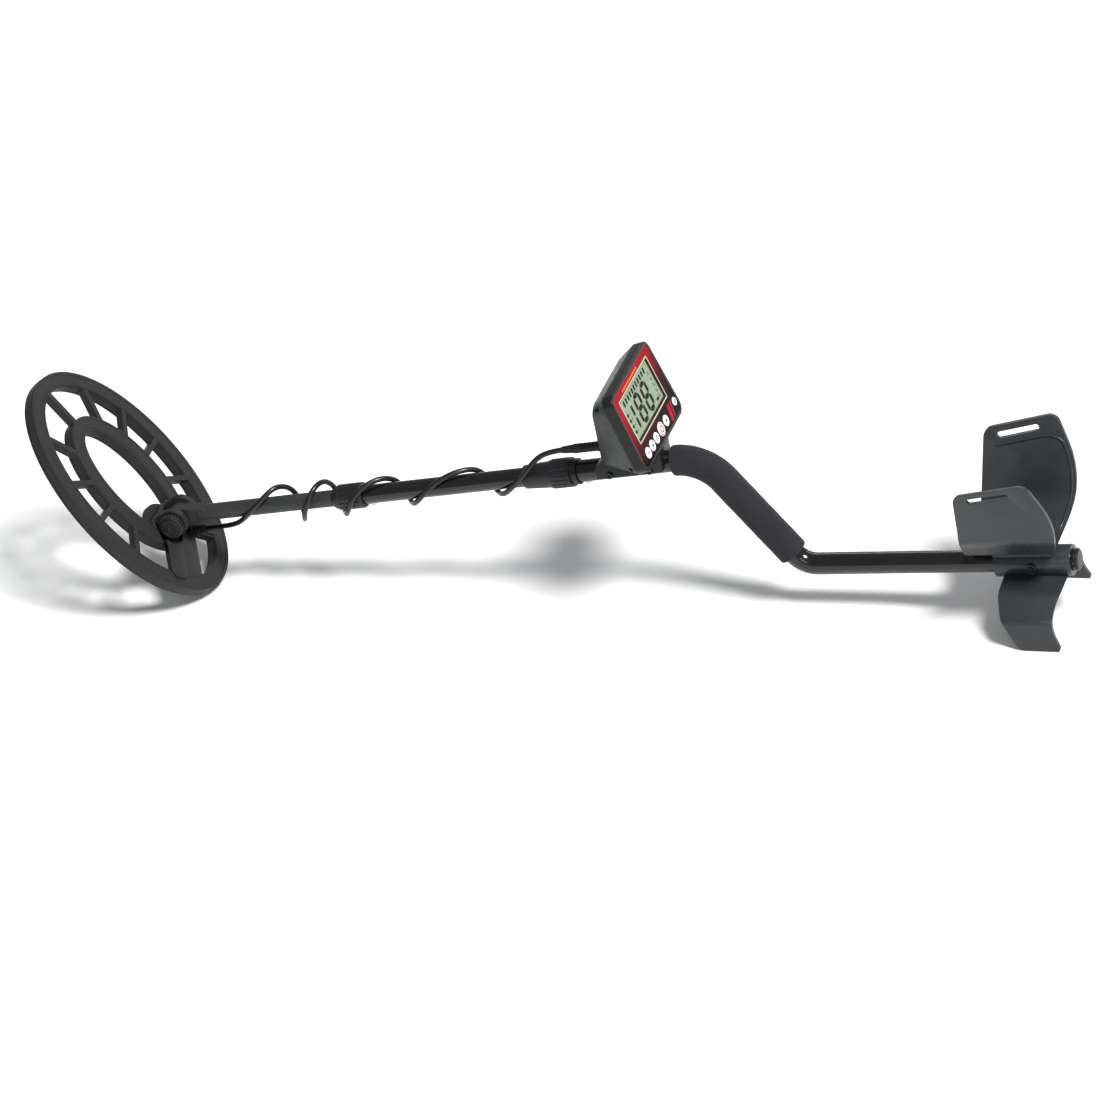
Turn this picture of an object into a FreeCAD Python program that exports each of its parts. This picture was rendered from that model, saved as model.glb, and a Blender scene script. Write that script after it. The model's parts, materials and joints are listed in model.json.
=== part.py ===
import FreeCAD, Part
import math
import os

import Sketcher

V = FreeCAD.Vector
Turn = FreeCAD.Rotation
Place = FreeCAD.Placement

os.makedirs("parts", exist_ok=True)
doc = FreeCAD.newDocument("metal_detector")
sheet = doc.addObject("Spreadsheet::Sheet", "Sheet")

# ---------------------------------------------------------------- driving dimensions, millimetres and degrees
DIMENSIONS = {
    # where things stand: x from the coil's rear tip towards the user, z up from the ground
    "centre_shift": 385.7,
    "coil_pitch": 56.0,
    "rod_pitch": 8.5,
    # search coil
    "coil_half_length": 139.7,
    "coil_half_width": 93.5,
    "coil_thickness": 14.0,
    "cover_thickness": 4.5,
    "cover_step": 0.9,
    "outer_ring_width": 17.0,
    "inner_ring_half_length": 85.0,
    "inner_ring_half_width": 50.0,
    "inner_ring_width": 17.5,
    "spoke_width": 5.5,
    "spoke_height": 9.0,
    "winding_width": 5.0,
    "winding_height": 4.0,
    "hub_back": 58.0,
    "pivot_above": 28.0,
    "hub_radius": 26.0,
    "ear_radius": 15.0,
    "ear_thickness": 6.5,
    "ear_gap": 20.0,
    "near_arm_width": 38.0,
    "far_arm_width": 24.0,
    "gland_radius": 5.5,
    "gland_length": 16.0,
    # pivot
    "bolt_radius": 4.0,
    "knob_radius": 13.0,
    "knob_length": 9.0,
    "washer_thickness": 2.6,
    "paddle_thickness": 14.0,
    # stems
    "lower_radius": 8.5,
    "lower_wall": 1.75,
    "lower_length": 300.0,
    "middle_radius": 9.75,
    "middle_bore": 8.55,
    "middle_start": 190.0,
    "middle_length": 305.0,
    "rod_radius": 11.1,
    "rod_bore": 9.8,
    "rod_start": 425.0,
    "rod_corner": 586.0,
    "slope_length": 149.3,
    "slope_turn": -62.85,
    "tail_length": 279.4,
    "tail_turn": -5.44,
    "upper_bend": 50.0,
    "lower_bend": 26.0,
    # twist locks
    "collar_gap": 0.3,
    "lower_collar_start": 181.0,
    "lower_collar_end": 214.5,
    "lower_collar_radius": 13.2,
    "lower_button_at": 220.0,
    "upper_collar_start": 394.0,
    "upper_collar_end": 453.0,
    "upper_collar_radius": 15.0,
    "upper_button_at": 458.5,
    "button_radius": 4.0,
    "button_rise": 3.2,
    "hole_pitch": 30.0,
    # grip
    "grip_radius": 15.5,
    "grip_start": 554.5,
    "grip_slope_end": 134.0,
    # armrest and stand: x along the rear tube from its lower corner, z up from its axis
    "armrest_front": 176.0,
    "armrest_back": 262.0,
    "armrest_floor": 17.5,
    "armrest_top": 124.0,
    "armrest_half_width": 71.0,
    "armrest_wall": 4.0,
    "wing_corner_radius": 11.0,
    "wing_back_radius": 92.0,
    "slot_length": 44.0,
    "slot_width": 6.5,
    "sleeve_start": 199.0,
    "sleeve_end": 276.0,
    "sleeve_radius": 15.5,
    "stand_half_width": 68.0,
    "stand_wall": 4.5,
    "foot_front": 875.0,
    "foot_back": 916.0,
    # display pod
    "face_x": 522.0,
    "face_z": 187.0,
    "face_lean": 18.0,
    "face_height": 88.0,
    "face_bottom_width": 126.0,
    "face_top_width": 119.0,
    "bezel_depth": 11.0,
    "bezel_margin": 4.5,
    "pod_wall": 2.6,
    "lcd_width": 88.0,
    "lcd_height": 47.0,
    "lcd_centre": -1.5,
    "lcd_bottom": 28.0,
    "key_row": 13.5,
    "cable_radius": 2.75,
}
for row, (alias, number) in enumerate(DIMENSIONS.items(), start=1):
    sheet.set("A%d" % row, str(number))
    sheet.setAlias("A%d" % row, alias)
doc.recompute()


def dim(alias):
    return float(sheet.get(alias))


# ---------------------------------------------------------------- local frames
ORIGIN = Place(V(-dim("centre_shift"), 0, 0), Turn())
# coil: x along the coil to its rear tip, z out of its top, origin in the middle of its under side
tilt = math.radians(dim("coil_pitch"))
COIL = ORIGIN * Place(
    V(-dim("coil_half_length") * math.cos(tilt), 0, dim("coil_half_length") * math.sin(tilt)),
    Turn(V(0, 1, 0), dim("coil_pitch")),
)
# rod: x along the stems from the pivot, z square to them
PIVOT = COIL.multVec(V(dim("hub_back"), 0, dim("pivot_above")))
ROD = Place(PIVOT, Turn(V(0, 1, 0), -dim("rod_pitch")))
# face: x to the user's right, y up the face, z out of it, origin at the middle of its lower edge
lean = math.radians(dim("face_lean"))
FACE = ORIGIN * Place(
    V(dim("face_x"), 0, dim("face_z")),
    Turn(V(0, 1, 0), V(-math.sin(lean), 0, math.cos(lean)), V(math.cos(lean), 0, math.sin(lean)), "ZXY"),
)


def tail_frame():
    """x along the rear tube from its lower corner."""
    turn = math.radians(dim("slope_turn"))
    corner = V(
        dim("rod_corner") + dim("slope_length") * math.cos(turn),
        0,
        dim("slope_length") * math.sin(turn),
    )
    return ROD * Place(corner, Turn(V(0, 1, 0), -dim("tail_turn")))


TAIL = tail_frame()


def moved(frame, x=0.0, y=0.0, z=0.0, turn=None):
    return frame * Place(V(x, y, z), turn or Turn())


# ---------------------------------------------------------------- building helpers
parts = []


def keep(item, label, place=None):
    """Files an object as one of the sub-parts, under its own name."""
    item.Label = label
    if place is not None:
        item.Placement = place
    parts.append(item)
    return item


def bind(item, **expressions):
    for prop, expression in expressions.items():
        item.setExpression(prop, expression)
    return item


def new_body(label, place):
    body = doc.addObject("PartDesign::Body", label)
    return keep(body, label, place)


def sketch_on(body, role, lift=None):
    """A sketch on one of the body's own planes, lifted along its normal by an expression."""
    sketch = body.newObject("Sketcher::SketchObject", body.Label + "_sketch")
    plane = [item for item in body.Origin.OriginFeatures if item.Role == role][0]
    sketch.AttachmentSupport = (plane, [""])
    sketch.MapMode = "FlatFace"
    if lift:
        sketch.setExpression("AttachmentOffset.Base.z", lift)
    return sketch


def hold(sketch, geometry, point, across, up):
    """Fixes one point of a sketch by two expressions."""
    spot = sketch.getPoint(geometry, point)
    for kind, now, expression in (("DistanceX", spot.x, across), ("DistanceY", spot.y, up)):
        number = sketch.addConstraint(Sketcher.Constraint(kind, -1, 1, geometry, point, now))
        sketch.setExpression("Constraints[%d]" % number, str(expression))


def polygon(sketch, corners):
    """A closed outline whose corners are pairs of expressions."""
    first = sketch.GeometryCount
    count = len(corners)
    ring = [
        V(10 * math.cos(2 * math.pi * i / count), 10 * math.sin(2 * math.pi * i / count), 0)
        for i in range(count)
    ]
    for i in range(count):
        sketch.addGeometry(Part.LineSegment(ring[i], ring[(i + 1) % count]), False)
    for i in range(count):
        sketch.addConstraint(Sketcher.Constraint("Coincident", first + i, 2, first + (i + 1) % count, 1))
    for i, (across, up) in enumerate(corners):
        hold(sketch, first + i, 1, across, up)
    return sketch


def rectangle(sketch, left, right, bottom, top):
    return polygon(sketch, [(left, bottom), (right, bottom), (right, top), (left, top)])


def circle(sketch, radius, across="0", up="0"):
    index = sketch.addGeometry(Part.Circle(V(0, 0, 0), V(0, 0, 1), 5), False)
    hold(sketch, index, 3, across, up)
    number = sketch.addConstraint(Sketcher.Constraint("Radius", index, 5.0))
    sketch.setExpression("Constraints[%d]" % number, str(radius))
    return sketch


def pad(body, sketch, length, midplane=False, reverse=False, kind="PartDesign::Pad"):
    feature = body.newObject(kind, body.Label + "_pad")
    feature.Profile = sketch
    feature.setExpression("Length", str(length))
    feature.Midplane = midplane
    feature.Reversed = reverse
    doc.recompute()
    return feature


def pocket(body, sketch, length, midplane=False, reverse=False):
    """Cuts, and makes sure that it did."""
    before = body.Shape.Volume
    feature = pad(body, sketch, length, midplane, reverse, "PartDesign::Pocket")
    if body.Shape.Volume > before - 1e-3:
        raise RuntimeError("a pocket of %s cuts nothing" % body.Label)
    return feature


def spin(body, sketch, role="X_Axis"):
    axis = [item for item in body.Origin.OriginFeatures if item.Role == role][0]
    feature = body.newObject("PartDesign::Revolution", body.Label + "_turned")
    feature.Profile = sketch
    feature.ReferenceAxis = (axis, [""])
    feature.Angle = 360.0
    doc.recompute()
    return feature


def turned(label, place, outline):
    """A body of revolution about x; the outline is a list of (along, radius) expressions."""
    body = new_body(label, place)
    sketch = polygon(sketch_on(body, "XZ_Plane"), outline)
    spin(body, sketch)
    return body


def ring_outline(start, end, inner, outer):
    return [(start, inner), (end, inner), (end, outer), (start, outer)]


def edge_names(shape, wanted):
    return ["Edge%d" % (i + 1) for i, edge in enumerate(shape.Edges) if wanted(edge)]


def soften(body, radius, wanted, kind="PartDesign::Fillet"):
    """Rounds (or chamfers) the edges of a body's last feature that pass a test."""
    tip = body.Tip
    names = edge_names(tip.Shape, wanted)
    if not names:
        raise RuntimeError("no edge to round on %s" % body.Label)
    feature = body.newObject(kind, body.Label + "_soft")
    feature.Base = (tip, names)
    feature.setExpression("Radius" if kind.endswith("Fillet") else "Size", str(radius))
    doc.recompute()
    return feature


def runs_along(direction):
    """True for straight edges parallel to a direction."""

    def test(edge):
        if not isinstance(edge.Curve, Part.Line):
            return False
        return edge.tangentAt(edge.FirstParameter).cross(direction).Length < 1e-6

    return test


def box_between(low, high):
    size = high - low
    return Part.makeBox(size.x, size.y, size.z, low)


def cylinder(radius, length, base=V(), axis=V(0, 0, 1)):
    return Part.makeCylinder(radius, length, base, axis)


def solid_feature(label, shape, place):
    """A sub-part whose shape is made directly from the sheet's numbers."""
    feature = doc.addObject("Part::Feature", label)
    feature.Shape = shape.removeSplitter()
    return keep(feature, label, place)


def primitive(kind, name, **expressions):
    item = doc.addObject(kind, name)
    return bind(item, **expressions)


def joined(label, items, place=None, final=False):
    fuse = doc.addObject("Part::MultiFuse", label)
    fuse.Shapes = items
    doc.recompute()
    return keep(fuse, label, place) if final else fuse


def minus(label, base, tool, place=None, final=False):
    cut = doc.addObject("Part::Cut", label)
    cut.Base = base
    cut.Tool = tool
    doc.recompute()
    return keep(cut, label, place) if final else cut


def oval_slab(name, half_length, half_width, bottom, height):
    """A flat elliptical disc; every size is an expression."""
    rim = primitive("Part::Ellipse", name + "_rim", MajorRadius=half_length, MinorRadius=half_width)
    rim.setExpression("Placement.Base.z", bottom)
    slab = doc.addObject("Part::Extrusion", name)
    slab.Base = rim
    slab.DirMode = "Custom"
    slab.Dir = V(0, 0, 1)
    slab.Solid = True
    slab.setExpression("LengthFwd", height)
    doc.recompute()
    return slab


def oval_ring(name, half_length, half_width, width, bottom, height):
    outer = oval_slab(name + "_outside", half_length, half_width, bottom, height)
    inner = oval_slab(
        name + "_inside",
        "%s - (%s)" % (half_length, width),
        "%s - (%s)" % (half_width, width),
        bottom + " - 1",
        height + " + 2",
    )
    return minus(name, outer, inner)


# ---------------------------------------------------------------- search coil
def between_rings(angle):
    """The middle of the gap between the two rings, in one direction from the coil's centre."""
    turn = math.radians(angle)

    def reach(half_length, half_width):
        return 1 / math.hypot(math.cos(turn) / half_length, math.sin(turn) / half_width)

    outside = reach(
        dim("coil_half_length") - dim("outer_ring_width"),
        dim("coil_half_width") - dim("outer_ring_width"),
    )
    inside = reach(dim("inner_ring_half_length"), dim("inner_ring_half_width"))
    return (inside + outside) / 2, outside - inside


def spoke(index, angle):
    """A rib between the rings, flush with their tops."""
    overlap = 8.0
    middle, gap = between_rings(angle)
    rib = primitive("Part::Box", "spoke_%d" % index, Width="Sheet.spoke_width", Height="Sheet.spoke_height")
    rib.Length = gap + 2 * overlap
    turn = Turn(V(0, 0, 1), angle)
    start = V(middle - gap / 2 - overlap, -dim("spoke_width") / 2, 0)
    rib.Placement = Place(V(0, 0, dim("coil_thickness") - dim("spoke_height")), Turn()) * Place(V(), turn) * Place(
        start, Turn()
    )
    return rib


def coil_ring_profile(name, bottom, height, step="0"):
    outer = oval_ring(
        name + "_outer",
        "Sheet.coil_half_length - " + step,
        "Sheet.coil_half_width - " + step,
        "Sheet.outer_ring_width - 2 * " + step,
        bottom,
        height,
    )
    inner = oval_ring(
        name + "_inner",
        "Sheet.inner_ring_half_length - " + step,
        "Sheet.inner_ring_half_width - " + step,
        "Sheet.inner_ring_width - 2 * " + step,
        bottom,
        height,
    )
    return outer, inner


def inside_outer_rim(name, bottom, height):
    return oval_slab(
        name,
        "Sheet.coil_half_length - 3",
        "Sheet.coil_half_width - 3",
        bottom,
        height,
    )


HUB_ARMS = {"near": -50.0, "far": 40.0}
SPOKE_ANGLES = (180, 153, -153, 125, -125, 92, -92, 56, -56)


def hub_arm(name, angle, width, height):
    """A band from the hub out to the outer ring."""
    arm = primitive("Part::Box", name, Width=width, Height=height)
    arm.Length = 90
    arm.Placement = Place(V(dim("hub_back"), 0, 0), Turn(V(0, 0, 1), angle)) * Place(
        V(0, -arm.Width.Value / 2, dim("cover_thickness")), Turn()
    )
    return arm


def ear(name, side):
    """One rounded ear with its web down to the hub."""
    near = side * (dim("ear_gap") / 2 + (dim("ear_thickness") if side < 0 else 0))
    lug = primitive("Part::Cylinder", name + "_lug", Radius="Sheet.ear_radius", Height="Sheet.ear_thickness")
    centre = V(dim("hub_back"), near, dim("pivot_above"))
    lug.Placement = Place(centre, Turn(V(1, 0, 0), -90))
    web = primitive("Part::Box", name + "_web", Width="Sheet.ear_thickness", Length="2 * Sheet.ear_radius")
    web.Height = dim("pivot_above") - dim("cover_thickness")
    web.Placement = Place(V(dim("hub_back") - dim("ear_radius"), near, dim("cover_thickness")), Turn())
    return [lug, web]


def build_coil_housing():
    bottom = "Sheet.cover_thickness"
    height = "Sheet.coil_thickness - Sheet.cover_thickness"
    outer, inner = coil_ring_profile("housing", bottom, height)
    hub = primitive("Part::Cylinder", "hub", Radius="Sheet.hub_radius", Height=height)
    hub.Placement = Place(V(dim("hub_back"), 0, dim("cover_thickness")), Turn())
    arms = joined(
        "arms",
        [
            hub_arm("near_arm", HUB_ARMS["near"], "Sheet.near_arm_width", height),
            hub_arm("far_arm", HUB_ARMS["far"], "Sheet.far_arm_width", height),
        ],
    )
    trimmed = doc.addObject("Part::Common", "trimmed_arms")
    trimmed.Base = arms
    trimmed.Tool = inside_outer_rim("arm_limit", bottom, height)
    doc.recompute()
    spokes = [spoke(index, angle) for index, angle in enumerate(SPOKE_ANGLES)]
    body = joined("housing_solid", [outer, inner, hub, trimmed] + spokes + ear("near_ear", -1) + ear("far_ear", 1))
    hole = primitive("Part::Cylinder", "pivot_hole", Radius="Sheet.bolt_radius + 0.05")
    hole.Height = 80
    hole.Placement = Place(V(dim("hub_back"), -40, dim("pivot_above")), Turn(V(1, 0, 0), -90))
    grooves = [
        oval_ring(
            "transmit_groove",
            "Sheet.coil_half_length - 5.5",
            "Sheet.coil_half_width - 5.5",
            "Sheet.winding_width + 1",
            "Sheet.cover_thickness - 1",
            "Sheet.winding_height + 1.5",
        ),
        oval_ring(
            "receive_groove",
            "Sheet.inner_ring_half_length - 6",
            "Sheet.inner_ring_half_width - 6",
            "Sheet.winding_width + 1",
            "Sheet.cover_thickness - 1",
            "Sheet.winding_height + 1.5",
        ),
    ]
    throat = oval_slab(
        "inner_hole",
        "Sheet.inner_ring_half_length - Sheet.inner_ring_width",
        "Sheet.inner_ring_half_width - Sheet.inner_ring_width",
        "0",
        "Sheet.coil_thickness + 1",
    )
    limit = primitive("Part::Box", "hole_limit", Height="Sheet.coil_thickness + 2")
    limit.Length = dim("hub_back") - dim("hub_radius") * 0.62 + dim("coil_half_length")
    limit.Width = 2 * dim("coil_half_width")
    limit.Placement = Place(V(-dim("coil_half_length"), -dim("coil_half_width"), 0), Turn())
    throat_front = doc.addObject("Part::Common", "inner_hole_front")
    throat_front.Base = throat
    throat_front.Tool = limit
    doc.recompute()
    screw_holes = [screw_hole(index, spot) for index, spot in enumerate(COVER_SCREWS)]
    keep_out = joined("housing_cuts", [hole, throat_front] + grooves + screw_holes)
    minus("coil_housing", body, keep_out, COIL, final=True)


def along_arm(arm, distance):
    turn = math.radians(HUB_ARMS[arm])
    return V(dim("hub_back") + distance * math.cos(turn), distance * math.sin(turn), 0)


COVER_SCREWS = (along_arm("near", 40), along_arm("far", 44))
SCREW_RADIUS = 2.0


def screw_hole(index, spot):
    hole = primitive("Part::Cylinder", "cover_screw_hole_%d" % index)
    hole.Radius = SCREW_RADIUS + 0.05
    hole.Height = dim("coil_thickness")
    hole.Placement = Place(V(spot.x, spot.y, dim("coil_thickness") - 8), Turn())
    return hole


def build_coil_cover():
    outer, inner = coil_ring_profile("cover", "0", "Sheet.cover_thickness", "Sheet.cover_step")
    plate = primitive("Part::Cylinder", "cover_hub", Radius="Sheet.hub_radius - Sheet.cover_step")
    plate.setExpression("Height", "Sheet.cover_thickness")
    plate.Placement = Place(V(dim("hub_back"), 0, 0), Turn())
    joined("coil_bottom_cover", [outer, inner, plate], COIL, final=True)


def build_windings():
    for label, half_length, half_width in (
        ("transmit_winding", "Sheet.coil_half_length - 6", "Sheet.coil_half_width - 6"),
        ("receive_winding", "Sheet.inner_ring_half_length - 6.5", "Sheet.inner_ring_half_width - 6.5"),
    ):
        ring = oval_ring(
            label,
            half_length,
            half_width,
            "Sheet.winding_width",
            "Sheet.cover_thickness",
            "Sheet.winding_height",
        )
        keep(ring, label, COIL)


def build_cover_screws():
    head_height = 1.6
    shapes = []
    for spot in COVER_SCREWS:
        top = dim("coil_thickness")
        shank = cylinder(SCREW_RADIUS, 8, V(spot.x, spot.y, top - 8))
        head = cylinder(3.6, head_height, V(spot.x, spot.y, top))
        slot = box_between(V(spot.x - 4, spot.y - 0.4, top + 0.8), V(spot.x + 4, spot.y + 0.4, top + 3))
        shapes.append(shank.fuse(head).cut(slot))
    solid_feature("coil_cover_screws", Part.makeCompound(shapes), COIL)


GLAND_PITCH = 10.0
GLAND_SPOT = V(84, 15, 3)


def gland_place():
    """The gland points back along the stem, from the far arm beside the hub."""
    heading = dim("coil_pitch") + GLAND_PITCH
    return moved(
        COIL, GLAND_SPOT.x, GLAND_SPOT.y, dim("coil_thickness") + GLAND_SPOT.z, Turn(V(0, 1, 0), -heading)
    )


def build_gland():
    """A tapered strain relief on a square foot; x runs out of its mouth."""
    radius = dim("gland_radius")
    length = dim("gland_length")
    cone = Part.makeCone(radius, dim("cable_radius") + 1.2, length, V(), V(1, 0, 0))
    bore = cylinder(dim("cable_radius"), length, V(0, 0, 0), V(1, 0, 0))
    ribs = [
        cylinder(radius - 0.3 * i, 1.4, V(3.5 + 4 * i, 0, 0), V(1, 0, 0)) for i in range(3)
    ]
    relief = cone.multiFuse(ribs).cut(bore)
    place = gland_place()
    top = dim("coil_thickness")
    boss = cylinder(radius + 1.5, GLAND_SPOT.z + 2.5, V(GLAND_SPOT.x, GLAND_SPOT.y, top))
    boss.transformShape((place.inverse() * COIL).toMatrix())
    coil_top = box_between(V(-200, -100, -50), V(200, 100, top))
    coil_top.transformShape((place.inverse() * COIL).toMatrix())
    solid_feature("coil_cable_gland", relief.fuse(boss).cut(bore).cut(coil_top), place)


build_coil_housing()
build_coil_cover()
build_windings()
build_cover_screws()
build_gland()


# ---------------------------------------------------------------- coil pivot
def across(y):
    """A frame at the pivot whose x runs along +Y, for turned parts on the pivot's axis."""
    return ROD * Place(V(0, y, 0), Turn(V(0, 0, 1), 90))


def build_pivot():
    side = "(Sheet.ear_gap / 2 + Sheet.ear_thickness)"
    bolt = turned(
        "pivot_bolt",
        across(0),
        [
            ("-%s - Sheet.knob_length + 1.5" % side, "0"),
            ("%s + 5" % side, "0"),
            ("%s + 5" % side, "7.5"),
            (side, "7.5"),
            (side, "Sheet.bolt_radius"),
            ("-%s - Sheet.knob_length + 1.5" % side, "Sheet.bolt_radius"),
        ],
    )
    soften(bolt, "0.8", lambda edge: abs(edge.Length - 2 * math.pi * 7.5) < 0.01)

    knob = turned(
        "pivot_knob",
        across(-(dim("ear_gap") / 2 + dim("ear_thickness")) - 0.2),
        [
            ("-Sheet.knob_length", "0"),
            ("0", "0"),
            ("0", "Sheet.knob_radius - 1.5"),
            ("-1.5", "Sheet.knob_radius"),
            ("1 - Sheet.knob_length", "Sheet.knob_radius"),
            ("-Sheet.knob_length", "Sheet.knob_radius - 1.5"),
        ],
    )
    bore = circle(sketch_on(knob, "YZ_Plane"), "Sheet.bolt_radius + 0.06")
    pocket(knob, bore, "Sheet.knob_length - 1.2", reverse=False)
    flute = circle(sketch_on(knob, "YZ_Plane", "1"), "1.1", "Sheet.knob_radius + 0.3")
    cut = pocket(knob, flute, "Sheet.knob_length + 2")
    flutes = knob.newObject("PartDesign::PolarPattern", "knob_flutes")
    flutes.Originals = [cut]
    flutes.Axis = ([item for item in knob.Origin.OriginFeatures if item.Role == "X_Axis"][0], [""])
    flutes.Angle = 360
    flutes.Occurrences = 24
    knob.Tip = flutes
    doc.recompute()

    inner = dim("bolt_radius") + 0.1
    start = dim("paddle_thickness") / 2 + 0.3
    rings = [
        cylinder(11, dim("washer_thickness"), V(0, y, 0), V(0, 1, 0)).cut(
            cylinder(inner, dim("washer_thickness") + 2, V(0, y - 1, 0), V(0, 1, 0))
        )
        for y in (start, -start - dim("washer_thickness"))
    ]
    solid_feature("pivot_washers", Part.makeCompound(rings), ROD)


# ---------------------------------------------------------------- telescoping stems
def bottom_holes(body, radius, first, count, depth="Sheet.rod_radius + 6"):
    """Round holes on the underside, for the snap buttons, one every hole_pitch."""
    sketch = sketch_on(body, "XY_Plane")
    for index in range(count):
        circle(sketch, radius, "%s + %d * Sheet.hole_pitch" % (first, index))
    pocket(body, sketch, depth, reverse=False)


def build_lower_stem():
    stem = new_body("lower_stem", ROD)
    start = "26"
    tube = sketch_on(stem, "XZ_Plane")
    polygon(
        tube,
        [
            (start, "0"),
            ("36", "0"),
            ("36", "Sheet.lower_radius - Sheet.lower_wall"),
            ("Sheet.lower_length", "Sheet.lower_radius - Sheet.lower_wall"),
            ("Sheet.lower_length", "Sheet.lower_radius"),
            (start, "Sheet.lower_radius"),
        ],
    )
    spin(stem, tube)
    paddle = sketch_on(stem, "XZ_Plane")
    polygon(paddle, [("0", "-11"), ("34", "-7.5"), ("34", "7.5"), ("0", "11")])
    pad(stem, paddle, "Sheet.paddle_thickness", midplane=True)
    pad(stem, circle(sketch_on(stem, "XZ_Plane"), "11"), "Sheet.paddle_thickness", midplane=True)
    eye = circle(sketch_on(stem, "XZ_Plane"), "Sheet.bolt_radius + 0.06")
    pocket(stem, eye, "Sheet.paddle_thickness + 4", midplane=True)
    bottom_holes(stem, "Sheet.button_radius + 0.35", "Sheet.lower_button_at - 3 * Sheet.hole_pitch", 5)


def build_middle_stem():
    stem = turned(
        "middle_stem",
        ROD,
        ring_outline(
            "Sheet.middle_start",
            "Sheet.middle_start + Sheet.middle_length",
            "Sheet.middle_bore",
            "Sheet.middle_radius",
        ),
    )
    sketch = sketch_on(stem, "XY_Plane")
    circle(sketch, "Sheet.button_radius + 0.3", "Sheet.lower_button_at")
    for index in range(-2, 2):
        circle(sketch, "Sheet.button_radius + 0.35", "Sheet.upper_button_at + %d * Sheet.hole_pitch" % index)
    pocket(stem, sketch, "Sheet.rod_radius + 6")


def collet(label, start, end, inner, outer):
    """A split ring that the collar squeezes onto the inner tube."""
    ring = turned(
        label,
        ROD,
        [(start, inner), (end, inner), (end, outer), (start + " + 3", outer), (start, inner + " + 0.5")],
    )
    slits = sketch_on(ring, "XY_Plane")
    rectangle(slits, start + " - 1", end + " - 4", "-0.5", "0.5")
    pocket(ring, slits, "40", midplane=True)
    cross_slits = sketch_on(ring, "XZ_Plane")
    rectangle(cross_slits, start + " - 1", end + " - 4", "-0.5", "0.5")
    pocket(ring, cross_slits, "40", midplane=True)


def grip_grooves(collar, count, start, end, radius, groove="1.0"):
    """Shallow lengthwise grooves round a collar's wide part."""
    sketch = sketch_on(collar, "YZ_Plane", start)
    circle(sketch, groove, radius + " + 0.35")
    cut = pocket(collar, sketch, "%s - (%s)" % (end, start), reverse=True)
    grooves = collar.newObject("PartDesign::PolarPattern", collar.Label + "_grooves")
    grooves.Originals = [cut]
    grooves.Axis = ([item for item in collar.Origin.OriginFeatures if item.Role == "X_Axis"][0], [""])
    grooves.Angle = 360
    grooves.Occurrences = count
    collar.Tip = grooves
    doc.recompute()


def build_collars():
    lower = turned(
        "lower_lock_collar",
        ROD,
        [
            ("Sheet.lower_collar_start", "Sheet.lower_radius + 0.4"),
            ("Sheet.lower_collar_start + 1.6", "Sheet.lower_radius + 0.4"),
            ("Sheet.lower_collar_start + 1.6", "Sheet.middle_radius + Sheet.collar_gap"),
            ("Sheet.lower_collar_end", "Sheet.middle_radius + Sheet.collar_gap"),
            ("Sheet.lower_collar_end", "Sheet.lower_collar_radius - 1.2"),
            ("Sheet.lower_collar_end - 2", "Sheet.lower_collar_radius"),
            ("Sheet.lower_collar_start + 6", "Sheet.lower_collar_radius"),
            ("Sheet.lower_collar_start", "Sheet.lower_collar_radius - 2.6"),
        ],
    )
    grip_grooves(
        lower, 16, "Sheet.lower_collar_start + 8", "Sheet.lower_collar_end - 4", "Sheet.lower_collar_radius"
    )
    upper = turned(
        "upper_lock_collar",
        ROD,
        [
            ("Sheet.upper_collar_start", "Sheet.middle_radius + 0.35"),
            ("Sheet.upper_collar_start + 2", "Sheet.middle_radius + 0.35"),
            ("Sheet.upper_collar_start + 2", "Sheet.rod_radius"),
            ("Sheet.rod_start - 1", "Sheet.rod_radius"),
            ("Sheet.rod_start - 1", "Sheet.rod_radius + Sheet.collar_gap"),
            ("Sheet.upper_collar_end", "Sheet.rod_radius + Sheet.collar_gap"),
            ("Sheet.upper_collar_end", "Sheet.upper_collar_radius - 1.8"),
            ("Sheet.upper_collar_end - 5.5", "Sheet.upper_collar_radius - 1.8"),
            ("Sheet.upper_collar_end - 5.5", "Sheet.upper_collar_radius - 2.6"),
            ("Sheet.upper_collar_end - 7", "Sheet.upper_collar_radius - 2.6"),
            ("Sheet.upper_collar_end - 7", "Sheet.upper_collar_radius"),
            ("Sheet.rod_start", "Sheet.upper_collar_radius"),
            ("Sheet.rod_start - 5", "Sheet.upper_collar_radius - 1.6"),
            ("Sheet.upper_collar_start", "Sheet.upper_collar_radius - 3"),
        ],
    )
    grip_grooves(
        upper, 18, "Sheet.rod_start + 1.5", "Sheet.upper_collar_end - 8.5", "Sheet.upper_collar_radius"
    )
    collet(
        "lower_collet",
        "Sheet.lower_collar_start + 2",
        "Sheet.middle_start",
        "Sheet.middle_bore + 0.03",
        "Sheet.middle_radius",
    )
    collet(
        "upper_collet",
        "Sheet.upper_collar_start + 2.4",
        "Sheet.rod_start",
        "Sheet.rod_bore + 0.03",
        "Sheet.rod_radius - 0.4",
    )


def spring_button(label, at, bore, outer):
    """A domed button standing out of the underside of the outer tube."""
    place = ROD * Place(V(dim(at), 0, 0), Turn(V(0, 1, 0), 90))
    turned(
        label,
        place,
        [
            (bore, "0"),
            (outer + " + Sheet.button_rise", "0"),
            (outer + " + Sheet.button_rise", "Sheet.button_radius - 2"),
            (outer + " + Sheet.button_rise - 1.4", "Sheet.button_radius - 0.4"),
            (outer + " + 0.4", "Sheet.button_radius"),
            (bore, "Sheet.button_radius"),
        ],
    )


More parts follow.
